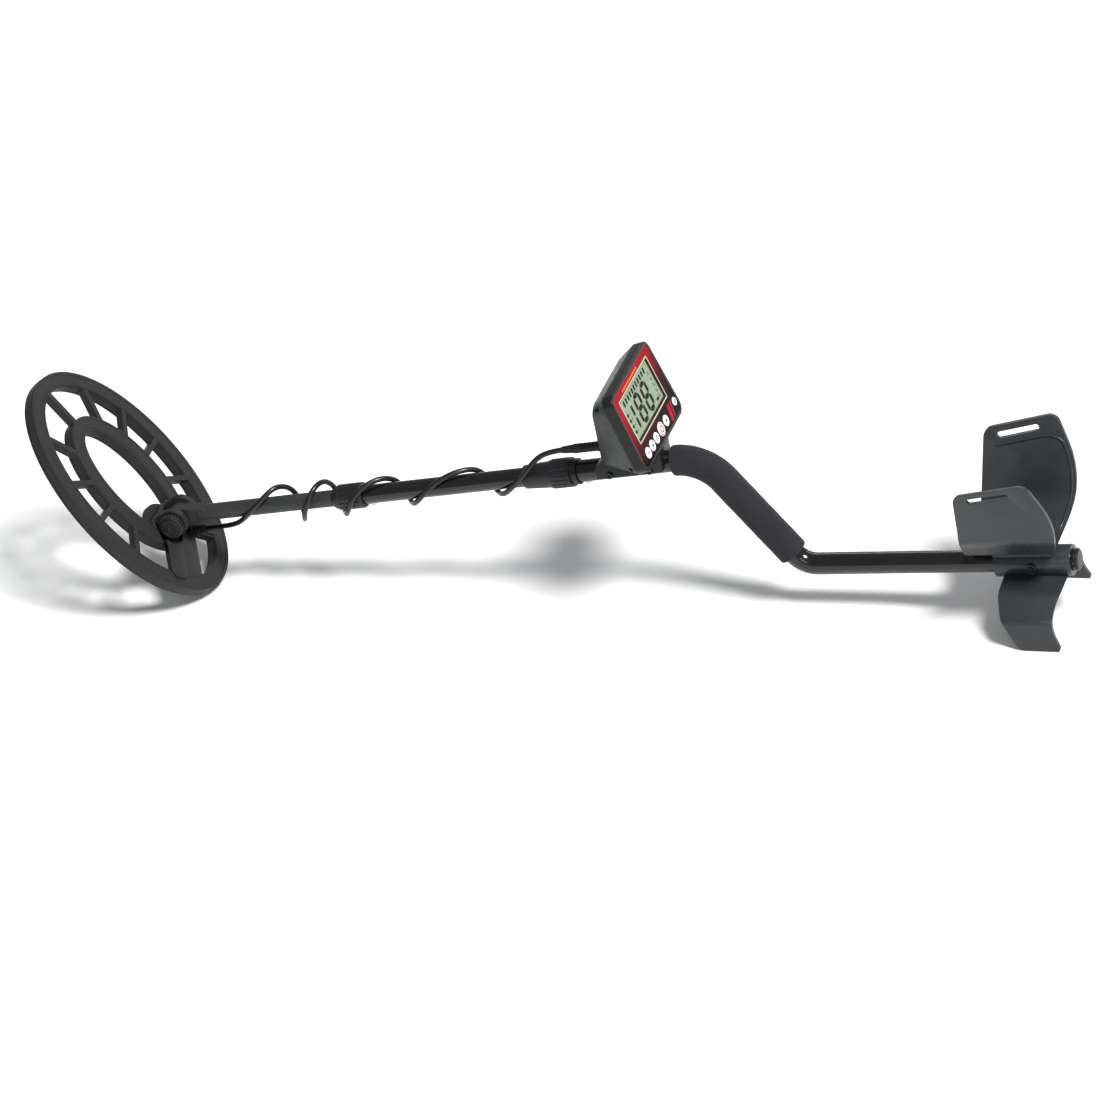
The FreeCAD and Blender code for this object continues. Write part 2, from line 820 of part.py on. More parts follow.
def leaf_spring(label, at, reach):
    """A folded leaf inside the inner tube that pushes the button out."""
    thickness = 0.5
    width = 6.0
    length = 34.0
    upper = box_between(V(-4, -width / 2, reach - thickness), V(length, width / 2, reach))
    lower = box_between(V(-4, -width / 2, -reach), V(length, width / 2, -reach + thickness))
    outside = cylinder(reach, width, V(-4, -width / 2, 0), V(0, 1, 0))
    inside = cylinder(reach - thickness, width, V(-4, -width / 2, 0), V(0, 1, 0))
    half = box_between(V(-4 - reach - 1, -width, -reach - 1), V(-4, width, reach + 1))
    nose = outside.cut(inside).common(half)
    solid_feature(label, upper.fuse([lower, nose]), moved(ROD, dim(at)))


# ---------------------------------------------------------------- s-shaped rod
def bent_spine(sketch, points, radii):
    """Straight runs joined by tangent arcs. Points are (along, up) expressions with their numbers."""
    numbers = [V(x, z, 0) for _, _, x, z in points]
    starts = [numbers[0]]
    ends = []
    arcs = []
    for i, radius in enumerate(radii, start=1):
        before = (numbers[i - 1] - numbers[i]).normalize()
        after = (numbers[i + 1] - numbers[i]).normalize()
        half = before.getAngle(after) / 2
        number = dim(radius)
        reach = number / math.tan(half)
        enter = numbers[i] + before * reach
        leave = numbers[i] + after * reach
        centre = numbers[i] + (before + after).normalize() * (number / math.sin(half))
        clockwise = before.cross(after).z > 0
        first, last = (leave, enter) if clockwise else (enter, leave)
        angles = [math.atan2(p.y - centre.y, p.x - centre.x) for p in (first, last)]
        arcs.append((Part.ArcOfCircle(Part.Circle(centre, V(0, 0, 1), number), *angles), clockwise, radius))
        ends.append(enter)
        starts.append(leave)
    ends.append(numbers[-1])
    lines = [sketch.addGeometry(Part.LineSegment(a, b), False) for a, b in zip(starts, ends)]
    for i, (arc, clockwise, radius) in enumerate(arcs):
        index = sketch.addGeometry(arc, False)
        enter, leave = (2, 1) if clockwise else (1, 2)
        sketch.addConstraint(Sketcher.Constraint("Tangent", lines[i], 2, index, enter))
        sketch.addConstraint(Sketcher.Constraint("Tangent", lines[i + 1], 1, index, leave))
        number = sketch.addConstraint(Sketcher.Constraint("Radius", index, dim(radius)))
        sketch.setExpression("Constraints[%d]" % number, "Sheet." + radius)
        corner = sketch.addGeometry(Part.Point(numbers[i + 1]), True)
        hold(sketch, corner, 1, points[i + 1][0], points[i + 1][1])
        for line in (lines[i], lines[i + 1]):
            sketch.addConstraint(Sketcher.Constraint("PointOnObject", corner, 1, line))
    hold(sketch, lines[0], 1, points[0][0], points[0][1])
    hold(sketch, lines[-1], 2, points[-1][0], points[-1][1])
    return sketch


def swept(body, spine, outer, inner, start):
    """A tube along a spine that begins on the body's x axis, square to it."""
    profile = sketch_on(body, "YZ_Plane", start)
    circle(profile, outer)
    circle(profile, inner)
    pipe = body.newObject("PartDesign::AdditivePipe", body.Label + "_pipe")
    pipe.Profile = profile
    pipe.Spine = spine
    doc.recompute()
    return pipe


SLOPE = "cos(Sheet.slope_turn * 1 deg)", "sin(Sheet.slope_turn * 1 deg)"
TAIL_DIRECTION = "cos(Sheet.tail_turn * 1 deg)", "sin(Sheet.tail_turn * 1 deg)"


def slope_point(distance):
    turn = math.radians(dim("slope_turn"))
    number = dim(distance)
    return (
        "Sheet.rod_corner + Sheet.%s * %s" % (distance, SLOPE[0]),
        "Sheet.%s * %s" % (distance, SLOPE[1]),
        dim("rod_corner") + number * math.cos(turn),
        number * math.sin(turn),
    )


def build_s_rod():
    rod = new_body("s_rod", ROD)
    tail = math.radians(dim("tail_turn"))
    low = slope_point("slope_length")
    end = (
        low[0] + " + Sheet.tail_length * " + TAIL_DIRECTION[0],
        low[1] + " + Sheet.tail_length * " + TAIL_DIRECTION[1],
        low[2] + dim("tail_length") * math.cos(tail),
        low[3] + dim("tail_length") * math.sin(tail),
    )
    spine = bent_spine(
        sketch_on(rod, "XZ_Plane"),
        [
            ("Sheet.rod_start", "0", dim("rod_start"), 0),
            ("Sheet.rod_corner", "0", dim("rod_corner"), 0),
            low,
            end,
        ],
        ["upper_bend", "lower_bend"],
    )
    swept(rod, spine, "Sheet.rod_radius", "Sheet.rod_bore", "Sheet.rod_start")
    sketch = circle(sketch_on(rod, "XY_Plane"), "Sheet.button_radius + 0.3", "Sheet.upper_button_at")
    pocket(rod, sketch, "Sheet.rod_radius + 6")


def build_grip():
    grip = new_body("foam_grip", ROD)
    spine = bent_spine(
        sketch_on(grip, "XZ_Plane"),
        [
            ("Sheet.grip_start", "0", dim("grip_start"), 0),
            ("Sheet.rod_corner", "0", dim("rod_corner"), 0),
            slope_point("grip_slope_end"),
        ],
        ["upper_bend"],
    )
    swept(grip, spine, "Sheet.grip_radius", "Sheet.rod_radius", "Sheet.grip_start")


def build_end_cap():
    turned(
        "rod_end_cap",
        TAIL,
        [
            ("Sheet.tail_length - 12", "0"),
            ("Sheet.tail_length + 3.5", "0"),
            ("Sheet.tail_length + 3.5", "Sheet.rod_radius - 1.5"),
            ("Sheet.tail_length + 2", "Sheet.rod_radius"),
            ("Sheet.tail_length", "Sheet.rod_radius"),
            ("Sheet.tail_length", "Sheet.rod_bore"),
            ("Sheet.tail_length - 12", "Sheet.rod_bore"),
        ],
    )


build_pivot()
build_lower_stem()
build_middle_stem()
build_collars()
spring_button("lower_spring_button", "lower_button_at", "Sheet.middle_bore", "Sheet.middle_radius")
spring_button("upper_spring_button", "upper_button_at", "Sheet.rod_bore", "Sheet.rod_radius")
leaf_spring("lower_button_spring", "lower_button_at", 4.8)
leaf_spring("upper_button_spring", "upper_button_at", 5.9)
build_s_rod()
build_grip()
build_end_cap()


# ---------------------------------------------------------------- armrest and stand
def mirrored(points):
    """The outline of a trough: its right half from the middle out, then the same on the left."""
    return [(y, z) for y, z in reversed(points)] + [("-(%s)" % y, z) for y, z in points]


def build_armrest():
    """A trough with two flared wings, trimmed to its side outline, with a strap slot in each wing."""
    trough = doc.addObject("PartDesign::Body", "armrest_trough")
    wall = "Sheet.armrest_wall"
    floor = "Sheet.armrest_floor"
    outside = [("22", floor), ("46", floor + " + 29"), ("Sheet.armrest_half_width", "Sheet.armrest_top + 12")]
    inside = [
        ("21", floor + " + " + wall),
        ("46 - " + wall + " * 0.95", floor + " + 29 + " + wall + " * 0.3"),
        ("Sheet.armrest_half_width - " + wall, "Sheet.armrest_top + 12"),
    ]
    section = sketch_on(trough, "YZ_Plane", "Sheet.armrest_front - 20")
    polygon(section, mirrored(outside) + mirrored(inside)[::-1])
    pad(trough, section, "Sheet.armrest_back - Sheet.armrest_front + 60")
    along = runs_along(V(1, 0, 0))

    def bend(low, high):
        return lambda edge: along(edge) and low < abs(edge.Vertexes[0].Y) < high

    soften(trough, "30", bend(35, 60))
    soften(trough, "24", bend(10, 30))

    outline = doc.addObject("PartDesign::Body", "armrest_outline")
    side = polygon(
        sketch_on(outline, "XZ_Plane"),
        [
            ("Sheet.armrest_front", "Sheet.armrest_floor - 2"),
            ("Sheet.armrest_front + 14", "Sheet.armrest_top - 10"),
            ("Sheet.armrest_back + 3", "Sheet.armrest_top + 3"),
            ("Sheet.armrest_back + 25", "Sheet.armrest_floor + 42"),
            ("Sheet.armrest_back", "Sheet.armrest_floor - 2"),
        ],
    )
    pad(outline, side, "2 * Sheet.armrest_half_width + 20", midplane=True)
    upright = runs_along(V(0, 1, 0))

    def corner(low_z, high_z):
        return lambda edge: upright(edge) and low_z < edge.Vertexes[0].Z < high_z

    soften(outline, "Sheet.wing_back_radius", corner(dim("armrest_floor") + 20, dim("armrest_floor") + 70))
    soften(outline, "Sheet.wing_corner_radius", corner(dim("armrest_top") - 15, dim("armrest_top") + 10))

    trimmed = doc.addObject("Part::Common", "armrest_blank")
    trimmed.Base = trough
    trimmed.Tool = outline
    slots = doc.addObject("PartDesign::Body", "armrest_slots")
    window = sketch_on(slots, "XZ_Plane")
    rectangle(window, "0", "Sheet.slot_length", "-Sheet.slot_width / 2", "Sheet.slot_width / 2")
    pad(slots, window, "2 * Sheet.armrest_half_width + 20", midplane=True)
    soften(slots, "3", upright)
    slope = math.degrees(math.atan2(13, dim("armrest_back") - dim("armrest_front") - 11))
    slots.Placement = Place(
        V(dim("armrest_front") + 27, 0, dim("armrest_top") - 17), Turn(V(0, 1, 0), -slope)
    )
    opened = minus("armrest_opened", trimmed, slots)
    bolt_hole = primitive("Part::Cylinder", "armrest_bolt_hole", Radius="2.55")
    bolt_hole.Height = 40
    bolt_hole.Placement = Place(V(ARMREST_BOLT_AT, 0, 0), Turn())
    minus("armrest", opened, bolt_hole, TAIL, final=True)


ARMREST_BOLT_AT = 220.0
SIDE_SCREW_AT = 237.0


def rounded_wire(corners, radii):
    """A closed planar wire of straight sides with rounded corners."""
    count = len(corners)
    enters, leaves, middles = [], [], []
    for i, radius in enumerate(radii):
        before = (corners[i - 1] - corners[i]).normalize()
        after = (corners[(i + 1) % count] - corners[i]).normalize()
        half = before.getAngle(after) / 2
        reach = radius / math.tan(half)
        centre = corners[i] + (before + after).normalize() * (radius / math.sin(half))
        enters.append(corners[i] + before * reach)
        leaves.append(corners[i] + after * reach)
        middles.append(centre + (corners[i] - centre).normalize() * radius)
    edges = []
    for i in range(count):
        edges.append(Part.Arc(enters[i], middles[i], leaves[i]).toShape())
        edges.append(Part.makeLine(leaves[i], enters[(i + 1) % count]))
    return Part.Wire(edges)


def prism(corners, radii, direction):
    return Part.Face(rounded_wire(corners, radii)).extrude(direction)


def leg_section(side, front, length):
    """One leg of the stand, seen from behind: out from the sleeve, then down to its foot."""
    half = dim("stand_half_width")
    wall = dim("stand_wall")
    outside = [(0, 53), (44, 50), (half - 5, 30), (half, -2)]
    inside = [(half - wall, -2), (half - 5 - wall, 28.5), (43, 50 - wall), (0, 53 - wall)]
    corners = [V(front, side * y, z) for y, z in outside + inside]
    return prism(corners, [0.2, 18, 16, 0.2, 0.2, 12, 14, 0.2], V(length, 0, 0))


def build_stand():
    """A sleeve round the rear tube, carrying the armrest above and two splayed legs below."""
    to_ground = TAIL.inverse() * ORIGIN
    front = ORIGIN.inverse().multVec(TAIL.multVec(V(dim("sleeve_start"), 0, 0))).x
    foot_front = dim("foot_front")
    foot_back = dim("foot_back")
    side = prism(
        [
            V(front + 8, -90, 60),
            V(foot_back + 4, -90, 60),
            V(foot_back - 12, -90, 29),
            V(foot_back + 1, -90, 0),
            V(foot_front, -90, 0),
            V(front + 14, -90, 31),
        ],
        [3, 3, 44, 3, 12, 60],
        V(0, 180, 0),
    )
    legs = leg_section(1, front - 5, 120).fuse(leg_section(-1, front - 5, 120)).common(side)
    legs.transformShape(to_ground.toMatrix())
    length = dim("sleeve_end") - dim("sleeve_start")
    start = V(dim("sleeve_start"), 0, 0)
    sleeve = cylinder(dim("sleeve_radius"), length, start, V(1, 0, 0))
    saddle = box_between(
        V(dim("sleeve_start"), -11, 0), V(dim("armrest_back") - 4, 11, dim("armrest_floor"))
    )
    boss = cylinder(5.5, 6, V(SIDE_SCREW_AT, -dim("sleeve_radius") - 2.5, 0), V(0, 1, 0))
    bore = cylinder(dim("rod_radius"), length + 2, start - V(1, 0, 0), V(1, 0, 0))
    body = sleeve.multiFuse([saddle, boss, legs]).cut(bore)
    nut_pocket = box_between(
        V(ARMREST_BOLT_AT - 4.2, -4.2, dim("rod_radius") - 1), V(ARMREST_BOLT_AT + 4.2, 4.2, 15)
    )
    bolt_hole = cylinder(2.55, 30, V(ARMREST_BOLT_AT, 0, 0))
    screw_hole = cylinder(2.05, 20, V(SIDE_SCREW_AT, -30, 0), V(0, 1, 0))
    solid_feature("stand", body.cut(nut_pocket).cut(bolt_hole).cut(screw_hole), TAIL)


def build_armrest_fixings():
    top = dim("armrest_floor") + dim("armrest_wall")
    shank = cylinder(2.5, top - 12.2, V(ARMREST_BOLT_AT, 0, 12.2))
    head = Part.makeCone(5.5, 4.0, 2.6, V(ARMREST_BOLT_AT, 0, top))
    cross = box_between(V(ARMREST_BOLT_AT - 3, -0.5, top + 1.4), V(ARMREST_BOLT_AT + 3, 0.5, top + 4))
    solid_feature("armrest_bolt", shank.fuse(head).cut(cross), TAIL)
    nut = box_between(V(ARMREST_BOLT_AT - 4, -4, 12.0), V(ARMREST_BOLT_AT + 4, 4, 14.9))
    solid_feature("armrest_nut", nut.cut(cylinder(2.5, 30, V(ARMREST_BOLT_AT, 0, 0))), TAIL)
    outside = -dim("sleeve_radius") - 2.5
    screw = cylinder(2.0, -dim("rod_radius") - outside, V(SIDE_SCREW_AT, outside, 0), V(0, 1, 0))
    button = cylinder(3.8, 1.8, V(SIDE_SCREW_AT, outside - 1.8, 0), V(0, 1, 0))
    socket = cylinder(1.6, 1.2, V(SIDE_SCREW_AT, outside - 1.8, 0), V(0, 1, 0))
    solid_feature("stand_screw", screw.fuse(button).cut(socket), TAIL)


build_armrest()
build_stand()
build_armrest_fixings()


# ---------------------------------------------------------------- display pod
FACE_FROM_ORIGIN = FACE.inverse() * ORIGIN


def face_outline(inset, z, radius):
    """The display's outline, a rounded trapezoid, drawn in at a depth behind the face."""
    low = dim("face_bottom_width") / 2 - inset
    high = dim("face_top_width") / 2 - inset
    top = dim("face_height") - inset
    corners = [V(-low, inset, z), V(low, inset, z), V(high, top, z), V(-high, top, z)]
    return rounded_wire(corners, [radius] * 4)


# the back of the housing: half widths, and places as x and z from the coil's rear tip
BACK_TOP = (471.0, 256.0, 53.0)
BACK_BOTTOM = (458.0, 168.0, 18.0)


def back_outline(inset, forward, radius):
    corners = []
    for (x, z, half), sign in ((BACK_BOTTOM, 1), (BACK_TOP, -1)):
        spot = V(x + forward, 0, z + sign * inset)
        for side in (-1, 1):
            corners.append(V(spot.x, side * (half - inset), spot.z))
    ring = [corners[0], corners[1], corners[3], corners[2]]
    return rounded_wire([FACE_FROM_ORIGIN.multVec(corner) for corner in ring], [radius] * 4)


def pod_shell(inset, front_depth, forward, radius):
    wires = [
        face_outline(inset, -front_depth, radius + 2),
        back_outline(inset, forward, radius),
    ]
    return Part.makeLoft(wires, True, True)


PANEL_RECESS = 1.6
FRONT_WALL = 4.0
KEY_X = (-41.0, -27.5, -13.5, 3.0, 19.0)
POWER_KEY = (51.4, 16.0)
KEY_RADII = (5.8, 5.8, 5.8, 7.4, 5.8)
KEY_NAMES = ("minus_key", "plus_key", "menu_key", "pinpoint_key", "mode_key")
KEY_CLEARANCE = 0.35


def key_spots():
    spots = [(name, x, dim("key_row"), radius) for name, x, radius in zip(KEY_NAMES, KEY_X, KEY_RADII)]
    return spots + [("power_key", POWER_KEY[0], POWER_KEY[1], 4.4)]


def key_holes(low, high):
    return [
        cylinder(radius + KEY_CLEARANCE, high - low, V(x, y, low)) for _, x, y, radius in key_spots()
    ]


def lcd_block(margin, low, high):
    half = dim("lcd_width") / 2 + margin
    middle = dim("lcd_centre")
    bottom = dim("lcd_bottom") - margin
    top = dim("lcd_bottom") + dim("lcd_height") + margin
    return box_between(V(middle - half, bottom, low), V(middle + half, top, high))


def extruded(wire, depth):
    return Part.Face(wire).extrude(V(0, 0, depth))


POD_SCREWS = ((-56.5, 8.0), (56.5, 8.0), (-52.5, 79.0), (52.5, 79.0))
POST_RADIUS = 3.3


def build_front_housing():
    depth = dim("bezel_depth")
    wall = dim("pod_wall")
    body = extruded(face_outline(0, 0, 11), -depth)
    rim = [edge for edge in body.Edges if edge.BoundBox.ZMin > -0.01]
    body = body.makeFillet(1.6, rim)
    cavity = extruded(face_outline(wall, -depth, 8.5), depth - FRONT_WALL)
    recess = extruded(face_outline(dim("bezel_margin"), -PANEL_RECESS, 6), PANEL_RECESS + 1)
    body = body.cut(cavity).cut(recess).cut(lcd_block(-2, -depth, 1))
    bosses = []
    for x, y in POD_SCREWS:
        post = cylinder(POST_RADIUS, depth - FRONT_WALL + 0.5, V(x, y, -depth))
        bosses.append(post.common(extruded(face_outline(wall - 0.5, -depth, 8.5), depth)))
    body = body.multiFuse(bosses)
    for x, y in POD_SCREWS:
        body = body.cut(cylinder(1.5, 6, V(x, y, -depth)))
    solid_feature("pod_front_housing", body.cut(Part.makeCompound(key_holes(-depth, 1))), FACE)


def build_display():
    panel = extruded(face_outline(dim("bezel_margin") + 0.1, -PANEL_RECESS, 5.9), PANEL_RECESS - 0.2)
    panel = panel.cut(lcd_block(0, -5, 1)).cut(Part.makeCompound(key_holes(-5, 1)))
    solid_feature("face_panel", panel, FACE)
    solid_feature("lcd_window", lcd_block(-0.1, -PANEL_RECESS, -0.4), FACE)
    lcd = lcd_block(1.2, -8.6, -FRONT_WALL)
    solid_feature("lcd_module", lcd, FACE)
    board = box_between(V(-46, dim("lcd_bottom") - 4, -10.8), V(46, 77, -8.9))
    chips = [
        box_between(V(x - 6, y - 6, -12.6), V(x + 6, y + 6, -10.8)) for x, y in ((-28, 45), (0, 55), (24, 42))
    ]
    solid_feature("main_circuit_board", board.multiFuse(chips), FACE)
    key_board = box_between(V(-56, 6.5, -8.4), V(56, dim("lcd_bottom") - 5, -6.8))
    posts = [cylinder(POST_RADIUS + 0.4, 14, V(x, y, -dim("bezel_depth") - 1)) for x, y in POD_SCREWS]
    solid_feature("key_board", key_board.cut(Part.makeCompound(posts)), FACE)


def build_keys():
    """Keys are caps on a wider flange that stops them behind the front wall."""
    for name, x, y, radius in key_spots():
        cap = cylinder(radius, FRONT_WALL + 0.9, V(0, 0, -FRONT_WALL - 0.3))
        rim = [edge for edge in cap.Edges if edge.BoundBox.ZMin > 0.5]
        cap = cap.makeFillet(0.8, rim)
        flange = cylinder(radius + 0.6, 0.9, V(0, 0, -FRONT_WALL - 1.2))
        solid_feature(name, cap.fuse(flange), moved(FACE, x, y))


BATTERY_LOW = V(470.8, -24.25, 203.0)
BATTERY_HIGH = V(488.3, 24.25, 229.5)
DOOR_HALF = 24.0
DOOR_BOTTOM_Z = 203.0
DOOR_TOP_Z = 231.0
DOOR_GAP = 0.35
DOOR_THICKNESS = 2.2
SOCKET_AT = 494.0
SOCKET_RISE = 26.0
JACK_SPOT = (499.0, 30.0)
JACK_RADIUS = 3.2


def back_frame(z):
    """On the housing's back: x across to the right, y up the back, z out of it."""
    up = V(BACK_TOP[0] - BACK_BOTTOM[0], 0, BACK_TOP[1] - BACK_BOTTOM[1]).normalize()
    share = (z - BACK_BOTTOM[1]) / (BACK_TOP[1] - BACK_BOTTOM[1])
    x = BACK_BOTTOM[0] + share * (BACK_TOP[0] - BACK_BOTTOM[0])
    out = V(-up.z, 0, up.x)
    return ORIGIN * Place(V(x, 0, z), Turn(up.cross(out), up, out, "ZXY"))


def socket_frame():
    """On the housing's back, z parallel to the rod and pointing towards the coil."""
    return moved(ROD, SOCKET_AT, 0, SOCKET_RISE, Turn(V(0, 1, 0), -90))


def in_frame(shape, here, there):
    """A shape drawn in one frame, given in another."""
    copy = shape.copy()
    copy.transformShape((there.inverse() * here).toMatrix())
    return copy


def build_rear_housing():
    wall = dim("pod_wall")
    depth = dim("bezel_depth")
    outside = pod_shell(0, depth, 0, 9)
    inside = pod_shell(wall, depth - 0.01, wall, 6.5)
    door_frame = back_frame(DOOR_BOTTOM_Z)
    height = DOOR_TOP_Z - DOOR_BOTTOM_Z
    opening = box_between(V(-DOOR_HALF, 0, -8), V(DOOR_HALF, height, 5))
    socket = cylinder(8.0, 30, V(0, 0, -12))
    body = outside.cut(inside)
    jack_boss = cylinder(8.5, 14, V(JACK_SPOT[0], JACK_SPOT[1], 170), V(0, 0, 1))
    jack_boss = in_frame(jack_boss, ORIGIN, FACE).cut(inside)
    body = body.fuse(jack_boss)
    jack_hole = in_frame(cylinder(5.0, 40, V(JACK_SPOT[0], JACK_SPOT[1], 160)), ORIGIN, FACE)
    body = body.cut(in_frame(opening, door_frame, FACE))
    body = body.cut(in_frame(socket, socket_frame(), FACE)).cut(jack_hole)
    posts = []
    for x, y in POD_SCREWS:
        post = cylinder(POST_RADIUS, 60, V(x, y, -dim("bezel_depth") - 60)).common(outside)
        posts.append(post)
    body = body.multiFuse(posts)
    for x, y in POD_SCREWS:
        shaft = cylinder(1.7, 80, V(x, y, -dim("bezel_depth") - 70))
        counterbore = cylinder(2.6, 70, V(x, y, -dim("bezel_depth") - 74))
        body = body.cut(shaft).cut(counterbore)
    solid_feature("pod_rear_housing", body, FACE)


def build_pod_saddle():
    """The block between the housing and the rod, hollowed round the tube."""
    low = ORIGIN.inverse().multVec(ROD.multVec(V(476, 0, 0))).x
    high = ORIGIN.inverse().multVec(ROD.multVec(V(547, 0, 0))).x
    block = prism(
        [
            V(low, -15.5, 140),
            V(high, -15.5, 140),
            V(high, -15.5, 200),
            V(BACK_BOTTOM[0] + 4, -15.5, BACK_BOTTOM[1] + 8),
            V(low, -15.5, BACK_BOTTOM[1] - 3),
        ],
        [2, 2, 2, 2, 4],
        V(0, 31, 0),
    )
    block = in_frame(block, ORIGIN, ROD)
    below = box_between(V(300, -60, -60), V(700, 60, -3))
    housing = in_frame(pod_shell(0, dim("bezel_depth"), 0, 9), FACE, ROD)
    front = in_frame(extruded(face_outline(-3, 30, 11), -30 - dim("bezel_depth")), FACE, ROD)
    tube = cylinder(dim("rod_radius"), 400, V(300, 0, 0), V(1, 0, 0))
    saddle = block.cut(below).cut(housing).cut(front).cut(tube)
    largest = max(saddle.Solids, key=lambda solid: solid.Volume)
    socket = cylinder(8.2, 60, V(SOCKET_AT + 20, 0, SOCKET_RISE), V(-1, 0, 0))
    largest = largest.cut(socket)
    for x in SADDLE_SCREWS_AT:
        largest = largest.cut(cylinder(2.05, 24, V(x, -20, 0), V(0, 1, 0)))
    solid_feature("pod_saddle", largest, ROD)


SADDLE_SCREWS_AT = (490.0, 533.0)


def build_saddle_screws():
    screws = []
    for x in SADDLE_SCREWS_AT:
        shank = cylinder(2.0, 15.5 - dim("rod_radius"), V(x, -15.5, 0), V(0, 1, 0))
        head = cylinder(3.5, 1.6, V(x, -17.1, 0), V(0, 1, 0))
        socket = cylinder(1.5, 1.0, V(x, -17.1, 0), V(0, 1, 0))
        screws.append(shank.fuse(head).cut(socket))
    solid_feature("saddle_screws", Part.makeCompound(screws), ROD)


def build_pod_insides():
    depth = dim("bezel_depth")
    battery = box_between(BATTERY_LOW, BATTERY_HIGH)
    solid_feature("battery", battery, ORIGIN)
    contacts = []
    for z in (210.0, 222.0):
        plate = box_between(V(474, BATTERY_HIGH.y + 0.05, z), V(484, BATTERY_HIGH.y + 0.85, z + 6))
        contacts.append(plate)
    solid_feature("battery_contacts", Part.makeCompound(contacts), ORIGIN)
    cone = cylinder(12, 4.2, V(24, 65, -depth - 6.8)).fuse(cylinder(6, 3.5, V(24, 65, -depth - 10.3)))
    solid_feature("speaker", cone, FACE)
    screws = []
    for x, y in POD_SCREWS:
        shank = cylinder(1.45, 10, V(x, y, -depth - 5))
        head = cylinder(2.5, 1.8, V(x, y, -depth - 6.8))
        screws.append(shank.fuse(head))
    solid_feature("pod_screws", Part.makeCompound(screws), FACE)


def build_battery_door():
    """A plate in the back of the housing that swings out on the barrel along its lower edge."""
    place = back_frame(DOOR_BOTTOM_Z)
    height = DOOR_TOP_Z - DOOR_BOTTOM_Z
    half = DOOR_HALF - DOOR_GAP
    barrel = DOOR_THICKNESS / 2
    axis_y = DOOR_GAP + barrel
    plate = box_between(V(-half, axis_y, -DOOR_THICKNESS), V(half, height - DOOR_GAP, 0))
    hinge = cylinder(barrel, 2 * half, V(-half, axis_y, -barrel), V(1, 0, 0))
    latch = box_between(V(-6, height - 5, 0), V(6, height - 2.5, 0.8))
    solid_feature("battery_door", plate.multiFuse([hinge, latch]), place)


def build_sockets():
    shell = cylinder(7.95, 14, V(0, 0, -9)).cut(cylinder(5.6, 14, V(0, 0, -6)))
    solid_feature("cable_socket", shell, socket_frame())

    jack = ORIGIN * Place(V(JACK_SPOT[0], JACK_SPOT[1], 170), Turn())
    sleeve = cylinder(4.95, 13, V(0, 0, 0)).fuse(cylinder(6.6, 1.0, V(0, 0, -1)))
    solid_feature("headphone_jack", sleeve.cut(cylinder(JACK_RADIUS, 16, V(0, 0, -2))), jack)


build_front_housing()
build_display()
build_keys()
build_rear_housing()
build_pod_saddle()
build_saddle_screws()
build_pod_insides()
build_battery_door()
build_sockets()


# ---------------------------------------------------------------- coil cable
PLUG_LENGTH = 52.0
PLUG_MOUTH = 9.0
CABLE_SPLITS = (5, 17)


def build_plug():
    """The plug in its socket, with a tapered strain relief; z runs out along the cable."""
    bore = cylinder(dim("cable_radius"), 12, V(0, 0, PLUG_LENGTH - 12))
    barrel = cylinder(5.5, 18, V(0, 0, -5))
    body = cylinder(4.7, 27, V(0, 0, 12))
    taper = Part.makeCone(4.4, 3.5, PLUG_LENGTH - 38, V(0, 0, 38))
    rings = [cylinder(4.9, 1.6, V(0, 0, 16 + 5 * i)) for i in range(5)]
    solid_feature("cable_plug", barrel.multiFuse([body, taper] + rings).cut(bore), socket_frame())


# the cable's turns round the stems: place along the rod, turn in degrees from straight below, distance
# from the rod's axis; each turn runs from below, up the user's left side, over the top and down the right
CABLE_TURNS = (
    (86, 90, 15.0),
    (104, 140, 14.6),
    (118, 192, 14.6),
    (127, 255, 14.6),
    (134, 322, 15.0),
    (142, 382, 15.2),
    (152, 446, 15.2),
    (162, 503, 15.0),
    (169, 556, 15.0),
    (173, 612, 15.6),
    (178, 672, 18.4),
    (187, 728, 19.2),
    (197, 782, 19.2),
    (208, 832, 18.8),
    (222, 874, 17.0),
    (237, 918, 15.6),
    (247, 975, 15.4),
    (254, 1032, 15.6),
    (263, 1088, 15.6),
    (274, 1138, 15.4),
    (288, 1184, 15.2),
    (305, 1226, 15.0),
    (324, 1264, 15.0),
    (338, 1318, 15.4),
    (347, 1374, 15.6),
    (357, 1432, 15.6),
    (369, 1482, 15.6),
    (383, 1524, 15.6),
    (399, 1566, 18.0),
)


def on_turn(along, turn, radius):
    angle = math.radians(turn)
    return V(along, -radius * math.sin(angle), -radius * math.cos(angle))


def cable_points():
    """The cable's route in the rod's frame, from the gland's mouth to the strain relief of the plug."""
    gland = ROD.inverse() * gland_place()
    mouth = gland.multVec(V(dim("gland_length"), 0, 0))
    straight = gland.multVec(V(dim("gland_length") + 9, 0, 0))
    end = V(SOCKET_AT - PLUG_LENGTH, 0, SOCKET_RISE)
    points = [mouth, straight, on_turn(66, 22, 15.6)]
    points += [on_turn(*turn) for turn in CABLE_TURNS]
    points += [V(415, -5, 23.5), V(430, -0.6, SOCKET_RISE), end]
    return points


def corner_arc(points, index):
    """The largest fair arc at one point of the route: where it starts, its middle and where it ends."""
    before = points[index - 1] - points[index]
    after = points[index + 1] - points[index]
    shorter = min(before.Length, after.Length)
    half = before.getAngle(after) / 2
    reach = 0.45 * shorter
    radius = reach * math.tan(half)
    before.normalize()
    after.normalize()
    centre = points[index] + (before + after).normalize() * (radius / math.sin(half))
    middle = centre + (points[index] - centre).normalize() * radius
    return points[index] + before * reach, middle, points[index] + after * reach, radius


